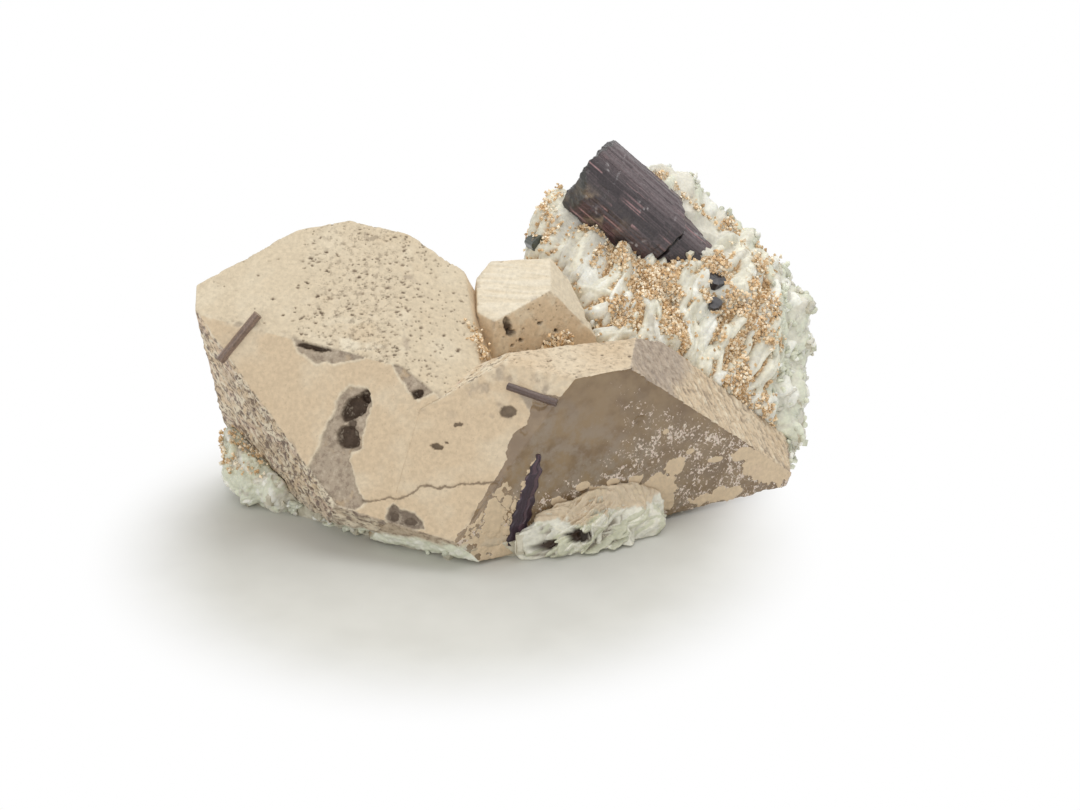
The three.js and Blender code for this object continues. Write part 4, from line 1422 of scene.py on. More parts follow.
    def stop_at_quartz(self, heart: Array, way: Array) -> Array:
        """Distance along each direction at which a quartz crystal begins."""
        first = np.full(len(way), 1e3)
        for crystal in (self.quartz.left, self.quartz.right, self.quartz.middle):
            closing = way @ crystal.normals.T
            gap = crystal.limits - crystal.normals @ heart
            at = gap[None] / np.where(np.abs(closing) < 1e-9, 1e-9, closing)
            enter = np.max(np.where(closing < 0, at, -1e3), axis=1)
            leave = np.min(np.where(closing > 0, at, 1e3), axis=1)
            first = np.where((enter < leave) & (enter > 0), np.minimum(first, enter), first)
        return first

    def between(self, count: int, *spans: tuple) -> Array:
        """Random sizes, one column for each span."""
        return np.stack([self.rng.uniform(low, high, count) for low, high in spans], axis=1)

    @staticmethod
    def lay_ridges(
        points: Array, place: Array, ground: Array, run: Array, sizes: Array, bow: Array, tones: Array
    ) -> tuple[Array, Array]:
        """Height and colour of fused, rounded blades on a surface.

        The height of a ridge over a point is tall * sqrt(1 - a^4 - b^2), a
        and b being the point's distances along and across it in half-lengths
        and half-widths; where ridges overlap, the higher one counts.

        Args:
            points: points of the surface before it is raised, mm.
            place: middles of the ridges, mm.
            ground: upward directions there.
            run: long directions.
            sizes: half-length, half-width and height of each, mm.
            bow: sideways bow of each, mm.
            tones: colour of each.

        Returns:
            Height in mm and colour of every point.
        """
        side = np.cross(ground, run)
        height = np.zeros(len(points))
        colour = np.tile(Tone.ALBITE_GREEN.rgb, (len(points), 1))
        for k, (length, wide, tall) in enumerate(sizes):
            near = np.where(np.max(np.abs(points - place[k]), axis=1) < length + 2.0)[0]
            rel = points[near] - place[k]
            a = rel @ run[k] / length
            b = (rel @ side[k] - bow[k] * (1 - a * a)) / wide
            rise = tall * np.sqrt(np.clip(1 - a**4 - b * b, 0, 1))
            more = rise > height[near]
            height[near[more]] = rise[more]
            colour[near[more]] = tones[k]
        return height, colour

    def slope_ridges(self, points: Array) -> tuple[Array, Array]:
        """Fat blades in rows up the slope of the mass."""
        place, normal = self.scatter(30000, 0.6)
        place, normal = (part[(place[:, 0] > -26) & (place[:, 2] > 7)] for part in (place, normal))
        ground = self.ground(place, normal)
        run = self.flow(place, ground)
        take = spread_out(place, run, 7.0, 2.7, 2 * self.ridges)
        place, ground, run = place[take], ground[take], run[take]
        n, slope = len(place), self.slope(place)
        sizes = np.stack([
            self.rng.uniform(5.2, 8.4, n) * (0.45 + 0.55 * slope),
            self.rng.uniform(0.95, 1.55, n),
            self.rng.uniform(1.3, 2.3, n) * (0.5 + 0.5 * slope),
        ], axis=1)
        bow = self.rng.uniform(-1.6, 1.6, n)
        return self.lay_ridges(points, place, ground, run, sizes, bow, self.tone(place, 0.14))

    def fan_ridges(self, points: Array) -> tuple[Array, Array]:
        """Long thin plates sweeping up to the right over the low lump."""
        place, normal = self.scatter(90000, -0.6)
        low = (place[:, 0] > 0) & (place[:, 0] < 34) & (place[:, 1] < -22) & (place[:, 2] > 0.5)
        place, normal = place[low], normal[low]
        ground = self.ground(place, normal, 9.0)
        run = np.array([0.84, 0.18, 0.46]) + 0.13 * self.rng.normal(size=ground.shape)
        run[:, 2] += 0.55 * noise(place, 8.0, 311)
        run -= ground * np.sum(run * ground, axis=1)[:, None]
        run /= np.linalg.norm(run, axis=1)[:, None] + 1e-9
        take = spread_out(place, run, 5.0, 1.05, 420)
        place, ground, run = place[take], ground[take], run[take]
        n = len(place)
        sizes = self.between(n, (3.4, 8.0), (0.36, 0.66), (0.7, 2.1))
        base = np.where(self.rng.random((n, 1)) < 0.65, Tone.ALBITE_WHITE.rgb, Tone.ALBITE_GREEN.rgb)
        bow = self.rng.uniform(-1.4, 1.4, n)
        tones = base * self.rng.uniform(0.76, 0.96, (n, 1)) * np.array([1.0, 0.98, 0.93])
        return self.lay_ridges(points, place, ground, run, sizes, bow, tones)

    def grow_skin(self) -> bpy.types.Object:
        """Fused albite over the mass, with tan ground between the blades."""
        heart = np.array([34.0, 30.0, 12.0]) + SHIFT
        wide = np.radians(np.r_[np.linspace(-115, 125, 361)[:-1], np.linspace(125, 245, 61)[:-1]])
        steep = np.radians(np.linspace(-24, 87.5, 204))
        points, way, height, colour = self.raised_surface(heart, steep, wide, 60.0, self.slope_ridges)
        slope = self.slope(points)[:, None]
        cover = smooth(0.15, 0.75, height)[:, None]
        tan = slope * smooth(0.5, 3.5, Tourmaline.clearance(points))[:, None]
        groove = Tone.TAN_DARK.rgb * tan + Tone.ALBITE_GREY.rgb * (1 - tan)
        blend = np.maximum(cover, 0.35 * (1 - slope))
        free = Tourmaline.clearance(points) > 0.5
        self.skin = points[free], way[free], cover[free, 0]
        colour = groove * (1 - blend) + colour * blend
        return self.closed_surface("albite_skin", points, len(steep), heart, colour)

    def grow_lump(self) -> bpy.types.Object:
        """Fused plates of the low lump under the smoky face, with two cavities; painted shade darkens the
        grooves between the plates and fills the cavities.
        """
        heart = np.array([17.0, -30.0, 1.5]) + SHIFT
        wide = np.radians(np.r_[np.linspace(-115, 115, 261)[:-1], np.linspace(115, 245, 27)[:-1]])
        steep = np.radians(np.linspace(-5, 86, 100))
        points, _, height, colour = self.raised_surface(heart, steep, wide, 20.0, self.fan_ridges)
        # Painted shade: the crust colour darkened to 0.62 fills the grooves between the plates.
        groove = Tone.CRUST.rgb * 0.62
        cover = smooth(0.05, 0.9, height)[:, None]
        colour = groove * (1 - cover) + colour * cover
        # Painted shade: the two cavities are drawn in and darkened nearly to black.
        beyond = (points - (CAVITIES + SHIFT)[:, None]) / np.array([3.4, 3.0, 1.5])
        nearest = np.min(np.linalg.norm(beyond, axis=2), axis=0)
        hole = smooth(1.15, 0.8, nearest + 0.25 * noise(points, 1.2, 331))[:, None]
        points = points + (heart - points) * 0.16 * hole
        colour = colour * (1 - hole) + Tone.HOLE_SHADE.rgb * hole
        crust = smooth(8.2, 9.0, points[:, 2] + 2.2 * fractal(points, 2.6, 332))[:, None] * 0.85
        colour = colour * (1 - crust) + Tone.SKIN.rgb * crust
        return self.closed_surface("albite_lump", points, len(steep), heart, colour)

    def knobs(self, points: Array) -> tuple[Array, Array]:
        """Short fat blades lying every way, for the lump at the left."""
        place, normal = self.scatter(60000, -0.6)
        near = place[:, 0] < -54
        place, normal = place[near], normal[near]
        ground = self.ground(place, normal)
        run = self.rng.normal(size=ground.shape)
        run -= ground * np.sum(run * ground, axis=1)[:, None]
        run /= np.linalg.norm(run, axis=1)[:, None] + 1e-9
        take = spread_out(place, run, 2.6, 1.5, 260)
        place, ground, run = place[take], ground[take], run[take]
        n = len(place)
        sizes = self.between(n, (1.6, 3.4), (0.7, 1.2), (0.6, 1.2))
        bow = self.rng.uniform(-0.5, 0.5, n)
        return self.lay_ridges(points, place, ground, run, sizes, bow, self.tone(place, 0.14))

    def grow_left_lump(self) -> bpy.types.Object:
        """Fused albite of the low lump at the left end."""
        heart = np.array([-63.5, -4.5, 4.0]) + SHIFT
        wide = np.radians(np.r_[np.linspace(-180, 90, 221)[:-1], np.linspace(90, 180, 31)[:-1]])
        steep = np.radians(np.linspace(-18, 86, 90))
        points, _, height, colour = self.raised_surface(heart, steep, wide, 14.0, self.knobs)
        cover = smooth(0.0, 0.5, height)[:, None]
        colour = Tone.ALBITE_GREY.rgb * (1 - cover) + colour * cover
        return self.closed_surface("albite_left_lump", points, len(steep), heart, colour)

    def raised_surface(self, heart: Array, steep: Array, wide: Array, cap: float, ridges: object) -> tuple:
        """Grid of points over the solid, raised by ridges and unevenness.

        Args:
            heart: point inside the solid that the grid is drawn round, mm.
            steep: elevations of the rows, radians.
            wide: azimuths of the columns, radians.
            cap: greatest reach, mm.
            ridges: gives height and colour for points.

        Returns:
            Points, outward directions, ridge heights and colours.
        """
        reach = self.outer_reach(heart, steep[::2], wide[::2], cap)
        reach = self.softened(np.repeat(np.repeat(reach, 2, axis=0), 2, axis=1), 3)[: len(steep), : len(wide)]
        e, a = np.meshgrid(steep, wide, indexing="ij")
        way = np.stack([np.sin(a) * np.cos(e), -np.cos(a) * np.cos(e), np.sin(e)], -1).reshape(-1, 3)
        reach = reach.ravel() - 0.2
        points = heart + way * reach[:, None]
        height, colour = ridges(points)
        rough = 0.34 * fractal(points, 2.6, 321) + 0.17 * fractal(points, 0.9, 322, 2)
        reach = reach + height + rough * (1.0 + 0.45 * (1 - self.slope(points)))
        reach = np.minimum(reach, self.stop_at_quartz(heart, way) - 0.25)
        return self.inside_box(heart + way * reach[:, None]), way, height, colour

    @staticmethod
    def closed_surface(name: str, points: Array, rows: int, heart: Array, colour: Array) -> bpy.types.Object:
        """Mesh of a grid of points, closed at its top and on the table."""
        columns = len(points) // rows
        top = points[-columns:].mean(axis=0)
        low = np.array([heart[0], heart[1], 0.06])
        k = np.arange(columns)
        after, last = (k + 1) % columns, (rows - 1) * columns
        ends = np.vstack([
            np.stack([last + k, last + after, np.full(columns, rows * columns)], 1),
            np.stack([after, k, np.full(columns, rows * columns + 1)], 1),
        ])
        quads = grid_faces(rows, columns, closed=True)
        faces = np.vstack([quads[:, [0, 1, 2]], quads[:, [0, 2, 3]], ends])
        colour = np.vstack([colour, colour[-1:], colour[-1:]])
        return make_mesh(name, np.vstack([points, top, low]), faces, None, colour)

    def grow_ridges(self) -> bpy.types.Object:
        """Small fat blades on the bed and the mound behind the left crystal."""
        place, normal = self.scatter(16000, 0.9)
        outer = ((place[:, 0] < -1) | (place[:, 2] < 7)) & (place[:, 1] > -6) & (place[:, 0] > -56)
        place, normal = place[outer], normal[outer]
        ground = self.ground(place, normal)
        order = self.rng.permutation(len(place))
        place, ground = place[order], ground[order]
        run = self.flow(place, ground)
        take = spread_out(place, run, 3.6, 1.6, 2 * self.ridges)
        place, ground, run = place[take], ground[take], run[take]
        n = len(place)
        slope = self.slope(place)
        length = self.rng.uniform(2.2, 4.2, n) * (0.62 + 0.38 * slope)
        wide = self.rng.uniform(0.7, 1.1, n)
        tall = self.rng.uniform(0.6, 1.0, n)
        sizes = np.stack([length, wide, tall], axis=1)
        sizes *= (1 - 0.35 * smooth(14.0, 6.0, place[:, 2]))[:, None]
        rings, turn = 9, 9
        bend = self.rng.uniform(-1.7, 1.7, n)
        middle = place + ground * 0.15
        corners, faces = capsules(middle, run, ground, sizes, bend, (rings, turn), self.rng, 0.06)
        corners = corners + 0.30 * np.stack([noise(corners, 2.1, seed) for seed in (301, 302, 303)], axis=1)
        # Painted light: every blade is lightened on its upper side and darkened underneath, by a factor from
        # 0.84 to 1.04 round it.
        height = np.tile(np.sin(np.linspace(0, 2 * np.pi, turn, endpoint=False)) * 0.5 + 0.5, rings)
        height = np.tile(np.r_[height, 0.3, 0.3], n)
        tone = np.repeat(self.tone(place, 0.16), rings * turn + 2, axis=0) * (0.84 + 0.20 * height)[:, None]
        return make_mesh("albite_ridges", self.inside_box(corners), faces, None, tone)

    def grow_nodules(self) -> bpy.types.Object:
        """Small rounded grains of albite between the blades and over the rim."""
        place, normal = self.scatter(int(self.nodules * 2.2), 0.3)
        lump = (place[:, 0] > -2) & (place[:, 0] < 34) & (place[:, 1] < -26)
        lump |= (place[:, 0] < -57) & (place[:, 1] < 2)
        keep = (self.rng.random(len(place)) > 0.97 * self.slope(place)) & ~lump
        place, normal = place[keep][: self.nodules], normal[keep][: self.nodules]
        ground = self.ground(place, normal)
        run = self.flow(place, ground)
        n = len(place)
        run = run + 0.8 * self.rng.normal(size=(n, 3))
        run /= np.linalg.norm(run, axis=1)[:, None]
        rise = ground - run * np.sum(ground * run, axis=1)[:, None]
        rise /= np.linalg.norm(rise, axis=1)[:, None] + 1e-9
        sizes = self.between(n, (0.7, 2.0), (0.4, 0.8), (0.5, 1.0))
        bend = self.rng.uniform(-0.3, 0.3, n)
        corners, faces = capsules(place + ground * 0.5, run, rise, sizes, bend, (3, 6), self.rng, 0.16)
        tone = np.repeat(self.tone(place, 0.35), 20, axis=0)
        return make_mesh("albite_nodules", self.inside_box(corners), faces, None, tone)

    def grow_crumbs(self) -> bpy.types.Object:
        """Tan glassy crumbs filling the furrows, eight-sided and uneven."""
        place, out, cover = self.skin
        cluster = smooth(-0.15, 0.30, fractal(place, 6.0, 19, 2))
        chance = self.slope(place) * (1.0 - 0.98 * cover * (1 - 0.12 * cluster)) * (0.16 + 0.84 * cluster)
        chance *= self.quartz.depth(place) < -0.5
        chosen = self.rng.choice(len(place), self.crumbs, p=chance / chance.sum())
        place = place[chosen] + 0.28 * self.rng.normal(size=(self.crumbs, 3))
        normal, cluster = out[chosen], cluster[chosen]
        spots, ways = self.scatter(60000, 0.2)
        keep = self.rng.random(len(spots)) < 0.8 * self.tuft(spots)
        place = np.vstack([place, (spots + 1.1 * ways)[keep][:900]])
        normal = np.vstack([normal, ways[keep][:900]])
        cluster = np.r_[cluster, np.full(len(place) - len(cluster), 0.4)]
        for start, end, count in VALLEY_TUFTS:
            share = self.rng.random((count, 1))
            line = np.array(start) * (1 - share) + np.array(end) * share + SHIFT
            place = np.vstack([place, line + 0.75 * self.rng.normal(size=(count, 3))])
            normal = np.vstack([normal, np.tile([0.0, -0.7, 0.7], (count, 1))])
            cluster = np.r_[cluster, np.full(count, 0.2)]
        n = len(place)
        size = self.rng.uniform(0.32, 0.64, n)
        raised = self.rng.uniform(0.05, 0.5, n) + 0.5 * cluster * self.rng.random(n)
        centre = place + normal * raised[:, None]
        clear = Tourmaline.clearance(centre) > 0.5
        centre, size, n = centre[clear], size[clear], int(clear.sum())
        star = np.array([[1, 0, 0], [-1, 0, 0], [0, 1, 0], [0, -1, 0], [0, 0, 1], [0, 0, -1]], float)
        turn = np.linalg.qr(self.rng.normal(size=(n, 3, 3)))[0]
        stretch = self.rng.uniform(0.6, 1.3, (n, 6, 1))
        corners = centre[:, None, :] + np.einsum("nij,kj->nki", turn, star) * stretch * size[:, None, None]
        faces = np.array([
            [0, 2, 4], [2, 1, 4], [1, 3, 4], [3, 0, 4], [2, 0, 5], [1, 2, 5], [3, 1, 5], [0, 3, 5],
        ])
        mirrored = np.linalg.det(turn) < 0
        faces = np.where(mirrored[:, None, None], faces[None, :, ::-1], faces[None])
        faces = faces + np.arange(n)[:, None, None] * 6
        kinds = (Tone.TAN, Tone.TAN_PALE, Tone.TAN_DARK, Tone.TAN, Tone.TAN_CREAM)
        tones = np.array([kind.value for kind in kinds])
        tone = tones[self.rng.integers(0, len(tones), n)] * self.rng.uniform(0.8, 1.2, (n, 1))
        corners = self.inside_box(corners.reshape(-1, 3))
        tone = np.repeat(tone, 6, axis=0)
        return make_mesh("tan_crumbs", corners, faces.reshape(-1, 3), None, tone, soft=False)

    def build(self) -> None:
        """Dress the solid and grow everything on it."""
        # Painted shade: the albite solid is darkened round the two cavities of the lump.
        cavities = tuple(map(tuple, (CAVITIES + SHIFT) * MM))
        rock = SolidStoneFinish(
            "albite_rock", (0.50, 0.46, 0.35), (0.66, 0.62, 0.50), 1.6, 0.6, 0.4, painted_shade_at=cavities
        )
        dress(self.body, rock.material())
        pearl = StoneFinish(
            "albite_pearl", roughness=0.48, grain=0.9, depth=0.14, dark=0.88, light=1.06, glow=0.12
        )
        honey = StoneFinish(
            "tan_crystal", roughness=0.18, grain=0.5, depth=0.02, dark=0.9, light=1.1, shine=0.7
        )
        growths = (
            self.grow_skin, self.grow_ridges, self.grow_nodules, self.grow_lump, self.grow_left_lump,
        )
        for grow in growths:
            dress(grow(), pearl.material(), "albite")
        dress(self.grow_crumbs(), honey.material(), "albite")


# Tourmaline

# Name, foot, head, radius, pattern seed, tone, CAD solid and slot of each small prism, mm
LITTLE_PRISMS = (
    ("black_prism_upper", (46.6, 21.4, 42.0), (49.0, 17.9, 48.2), 2.2, 21, Tone.BLACK,
     "tourmaline_black_upper", "black_tourmaline"),
    ("black_prism_lower", (48.4, 17.4, 38.0), (48.2, 13.2, 43.4), 1.7, 22, Tone.BLACK,
     "tourmaline_black_lower", "black_tourmaline"),
    ("green_prism", (3.4, 21.6, 56.6), (5.2, 16.8, 57.0), 2.2, 23, Tone.GREEN,
     "tourmaline_green", "green_tourmaline"),
)
# Rods in the left crystal's front: ends as across, up, out, then radius, seed, tone, solid
RODS = (
    ("left_rod", (-30.6, 5.8, 0.1), (-22.3, 16.9, 0.5), 1.05, 31, Tone.ROD, "tourmaline_left_rod"),
    ("right_rod", (36.8, 4.6, 0.1), (48.2, 1.6, 0.1), 0.85, 32, Tone.ROD_DARK, "tourmaline_right_rod"),
)
# Sliver in the smoky face: height and both borders across, mm
SLIVER_ROWS = np.array([
    [5.2, -27.6, -27.0], [0.5, -29.9, -26.2], [-4.5, -31.6, -27.3],
    [-9.5, -33.2, -28.0], [-13.5, -34.0, -28.9], [-17.6, -34.5, -31.4],
])


@dataclass
class Tourmaline:
    """The big broken prism and the small ones."""

    upper: tuple = (15.4, 31.0, 70.6)
    lower: tuple = (46.2, 35.6, 42.6)
    radius: float = 12.0
    step_at: float = 16.0
    thinner: float = 1.1
    drop: float = 0.9
    turns: int = 420
    rows: int = 199

    @staticmethod
    def clearance(place: Array) -> Array:
        """Distance in mm from the big prism's side, for keeping clear of it."""
        base = Tourmaline()
        a, b = np.array(base.lower) + SHIFT, np.array(base.upper) + SHIFT
        axis = (b - a) / np.linalg.norm(b - a)
        along = (place - a) @ axis
        off = np.linalg.norm(place - a - along[:, None] * axis, axis=1)
        reach = np.linalg.norm(b - a)
        return np.where((along > -1) & (along < reach + 2), off - base.radius, 9.0)

    def frame(self) -> tuple[Array, Array, Array, Array, float]:
        """Foot, two crosswise directions, axis and length of the prism."""
        foot, head = np.array(self.lower) + SHIFT, np.array(self.upper) + SHIFT
        axis = (head - foot) / np.linalg.norm(head - foot)
        x = np.cross([0.0, 0.0, 1.0], axis)
        x /= np.linalg.norm(x)
        return foot, x, np.cross(axis, x), axis, float(np.linalg.norm(head - foot))

    def ridges(self, angle: Array, along: Array) -> Array:
        """Striations: flat steps of uneven width round the prism.

        The angle is cut into uneven bands, each band has its own height in
        mm, and a slow change along the length lets a ridge fade in and out.
        """
        band = angle / (2 * np.pi) * 64 + 0.35 * np.sin(angle * 7.0)
        cells = [np.floor(band / 2.6), np.floor(along / 19.0), np.zeros_like(band)]
        coarse = hashed(np.stack(cells, -1), 201)
        cells = [np.floor(band * 1.9), np.floor(along / 11.0 + 0.3 * coarse), np.ones_like(band)]
        fine = hashed(np.stack(cells, -1), 202)
        return 0.60 * (coarse - 0.5) + 0.24 * (fine - 0.5)

    def end_height(self, x: Array, y: Array, length: float) -> Array:
        """Height of the broken end: one slanting plane, a knocked corner, relief."""
        slant = length - 0.35 + 0.396 * x + 0.111 * y
        knocked = length + 13.0 - 0.913 * x + 0.765 * y
        back = length + 6.0 + 0.20 * x - 0.54 * y
        plane = np.minimum.reduce([slant, knocked, back])
        p = np.stack([x.ravel(), y.ravel(), np.zeros(x.size)], axis=1)
        rough = 0.55 * fractal(p, 4.5, 211) + 0.35 * fractal(p, 1.3, 212)
        return plane + rough.reshape(x.shape)

    def big_prism(self) -> bpy.types.Object:
        """Mesh of the big prism: sides, broken head and hidden foot."""
        foot, ex, ey, axis, length = self.frame()
        t = np.linspace(0, 1, self.rows)
        angle = np.linspace(0, 2 * np.pi, self.turns, endpoint=False)
        tt, aa = np.meshgrid(t, angle, indexing="ij")
        section = self.radius * (1 + 0.05 * np.cos(3 * aa))
        rim_x, rim_y = section[0] * np.cos(angle), section[0] * np.sin(angle)
        top = self.end_height(rim_x, rim_y, length)
        along = tt * top[None, :]
        radius = section + self.ridges(aa, along)
        narrow = smooth(self.step_at + 0.25, self.step_at - 0.25, along + 0.9 * np.sin(aa * 3.0))
        radius = radius - narrow * (self.thinner + self.drop * np.sin(aa))
        p = np.stack([np.cos(aa) * 12, np.sin(aa) * 12, along], -1).reshape(-1, 3)
        wander = 0.9 * np.sin(aa * 3.0) + 0.7 * noise(p, 2.2, 215).reshape(along.shape)
        crack = np.exp(-(((along - self.step_at + wander) / 0.40) ** 2))
        open_side = np.clip(np.cos(aa - self.front_angle()), 0, 1) ** 0.5
        radius = radius - 1.5 * crack * open_side
        radius = radius + (0.10 * fractal(p, 2.0, 213) + 0.05 * fractal(p, 0.7, 214)).reshape(radius.shape)
        chip = smooth(0.45, 0.9, fractal(p, 3.5, 216)).reshape(radius.shape)
        chip = chip * smooth(5.0, 0.0, top[None, :] - along)
        radius = radius - 0.5 * chip
        outward = np.cos(aa)[..., None] * ex + np.sin(aa)[..., None] * ey
        corners = foot + radius[..., None] * outward + along[..., None] * axis
        faces = [grid_faces(self.rows, self.turns, closed=True)]
        corners = [corners.reshape(-1, 3)]
        rings = 40
        share = np.linspace(1, 0, rings)[1:]
        cap_x = share[:, None] * (radius[-1] * np.cos(angle))[None]
        cap_y = share[:, None] * (radius[-1] * np.sin(angle))[None]
        cap_z = self.end_height(cap_x, cap_y, length)
        first = self.rows * self.turns
        cap = foot + cap_x[..., None] * ex + cap_y[..., None] * ey + cap_z[..., None] * axis
        corners.append(cap.reshape(-1, 3))
        join = np.vstack([np.arange(first - self.turns, first), np.arange(first, first + self.turns)])
        k = np.arange(self.turns)
        nxt = (k + 1) % self.turns
        faces.append(np.stack([join[0][k], join[0][nxt], join[1][nxt], join[1][k]], axis=1))
        faces.append(grid_faces(rings - 1, self.turns, closed=True) + first)
        total = np.vstack(corners)
        count = len(total)
        head = np.zeros(count)
        head[first:] = 1.0
        head[first - self.turns * 2 : first] = 0.6
        angles = np.concatenate([aa.ravel(), np.tile(angle, rings - 1)])
        tone = self.tone(angles, np.concatenate([along.ravel(), cap_z.ravel()]), head, total, length)
        # Painted shade: the crack is darkened nearly to black on the side that faces the viewer.
        dark = np.concatenate([(crack * open_side).ravel(), np.zeros(cap_z.size)])
        tone = tone * (1 - 0.93 * np.clip(dark * 2.0, 0, 1))[:, None]
        faces.append(np.stack([count + k, count + nxt, nxt, k], axis=1))
        total = np.vstack([total, np.repeat(foot[None], self.turns, axis=0)])
        tone = np.vstack([tone, tone[: self.turns]])
        return make_mesh("tourmaline_prism", total, np.vstack(faces), None, tone, soft=True)

    def front_angle(self) -> float:
        """Angle round the axis of the side that faces the viewer."""
        _, ex, ey, _, _ = self.frame()
        toward = np.array([0.0, -0.927, 0.375])
        return float(np.arctan2(toward @ ey, toward @ ex))

    def tone(self, angle: Array, along: Array, head: Array, places: Array, length: float) -> Array:
        """Dark purple-brown sides, reddish lower edge, upper side lightened by a painted sheen, green-grey
        head.
        """
        front = self.front_angle()
        turn = (angle - front + np.pi) % (2 * np.pi) - np.pi
        grain = fractal(places, 3.0, 221)
        cells = [np.floor(angle * 40), np.floor(along / 7), np.zeros_like(angle)]
        lines = hashed(np.stack(cells, -1), 222)
        upper, lower = smooth(0.15, 0.65, turn), smooth(-0.15, -0.65, turn)
        beside = smooth(0.62, 0.85, along / length) * smooth(-0.05, -0.35, turn) * smooth(-1.25, -0.9, turn)
        scuffed = smooth(0.35, 0.75, fractal(places, 5.0, 226, 2))
        scuffed = scuffed * smooth(0.1, 0.6, fractal(places, 0.9, 224))
        layers = (
            # Painted highlight: the side turned upward is lightened, unevenly by striation.
            (Tone.PRISM_TOP_SHEEN, upper * (0.45 + 0.50 * lines)),
            (Tone.PRISM_EDGE, lower * (0.25 + 0.60 * lines) * smooth(-0.5, 0.4, grain)),
            (Tone.PRISM_LINE, smooth(0.55, 0.8, lines) * 0.35),
            (Tone.PRISM_RUST, beside * smooth(-0.1, 0.5, fractal(places, 2.6, 223)) * 0.75),
            (Tone.PRISM_SCUFF, scuffed * 0.85),
            (Tone.PRISM_PINK, smooth(0.90, 0.95, lines) * smooth(0.0, 0.5, noise(places, 7.0, 227)) * 0.7),
            (Tone.PRISM_END, head * (0.75 + 0.25 * grain)),
            (Tone.PRISM_END_PALE, head * smooth(0.3, 0.9, fractal(places, 1.2, 225)) * 0.6),
        )
        base = np.tile(Tone.PRISM.rgb, (len(angle), 1))
        for tone, amount in layers:
            a = np.clip(amount, 0, 1)[:, None]
            base = base * (1 - a) + tone.rgb * a
        return base

    def small_prism(
        self, name: str, foot: Array, head: Array, radius: float, seed: int, tone: Tone
    ) -> bpy.types.Object:
        """A small striated prism between two points, ends closed.

        The section is a circle bulged three ways with uneven flat ribs; the
        ends shrink to the axis over the last rows.
        """
        turns, rows = 48, 24
        axis = head - foot
        length = np.linalg.norm(axis)
        axis = axis / length
        ex = np.cross([0.0, 1.0, 0.2], axis)
        ex /= np.linalg.norm(ex)
        ey = np.cross(axis, ex)
        t = np.concatenate([[0, 0], np.linspace(0, 1, rows), [1, 1]])
        share = np.concatenate([[0, 0.6], np.ones(rows), [0.6, 0]])
        angle = np.linspace(0, 2 * np.pi, turns, endpoint=False)
        tt, aa = np.meshgrid(t, angle, indexing="ij")
        ribs = hashed(np.stack([np.floor(aa * 5.1), np.zeros_like(aa), np.full_like(aa, seed)], -1), seed)
        r = radius * (1 + 0.07 * np.cos(3 * aa)) * (1 + 0.10 * (ribs - 0.5)) * share[:, None]
        outward = np.cos(aa)[..., None] * ex + np.sin(aa)[..., None] * ey
        places = foot + r[..., None] * outward + (tt * length)[..., None] * axis
        places = places.reshape(-1, 3)
        places = places + (0.05 * radius * fractal(places, radius * 0.8, seed))[:, None] * axis
        cells = [np.floor(aa * 9), np.floor(tt * 3), np.full_like(aa, seed)]
        colour = tone.rgb * (0.8 + 0.4 * hashed(np.stack(cells, -1), 5).ravel()[:, None])
        return make_mesh(name, places, grid_faces(len(t), turns, closed=True), None, colour, soft=False)

    def sliver_piece(self, quartz: Quartz) -> bpy.types.Object:
        """Dark striated sliver laid bare in the smoky face.

        A grid whose rows run down the sliver and whose columns run across
        it between its two borders; it bulges out by half a sine wave.
        """
        foot, right, up = quartz.right.axes("smoky")
        normal = np.cross(right, up)
        height, left_edge, right_edge = SLIVER_ROWS.T
        steps, columns = 70, 26
        v = np.linspace(height[0], height[-1], steps)
        left = np.interp(-v, -height, left_edge) + 0.25 * np.sin(v * 2.1)
        far = np.interp(-v, -height, right_edge) + 0.3 * np.sin(v * 1.7 + 1)
        s = np.linspace(0, 1, columns)
        u = left[:, None] * (1 - s) + far[:, None] * s
        ss, vv = np.meshgrid(np.floor(s * 9), np.floor(v / 6))
        band = hashed(np.stack([ss, vv, np.zeros_like(ss)], -1), 231)
        out = 0.55 * np.sin(np.pi * s)[None, :] ** 0.5 + 0.22 * (band - 0.5)
        out[:, 0] = out[:, -1] = -1.2
        out[0] = out[-1] = -1.2
        places = foot + u[..., None] * right + v[:, None, None] * up + out[..., None] * normal
        narrow = u * 0.98 + 0.02 * u.mean(axis=1, keepdims=True)
        back = foot + narrow[..., None] * right + v[:, None, None] * up - 1.4 * normal
        count = steps * columns
        faces = grid_faces(steps, columns)
        down, across = columns * np.arange(steps), np.arange(columns)
        rim = np.r_[across, down[1:] + columns - 1, down[-1] + across[-2::-1], down[-2:0:-1]]
        rim_next = np.roll(rim, -1)
        edge = np.stack([rim, rim_next, rim_next + count, rim + count], axis=1)
        both = np.vstack([faces[:, ::-1], faces + count, edge])
        tone = np.where(band[..., None] > 0.45, Tone.SLIVER.rgb, Tone.SLIVER_PALE.rgb)
        tone = np.vstack([tone.reshape(-1, 3)] * 2)
        corners = np.vstack([places.reshape(-1, 3), back.reshape(-1, 3)])
        return make_mesh("tourmaline_blade", corners, both, None, tone, soft=False)

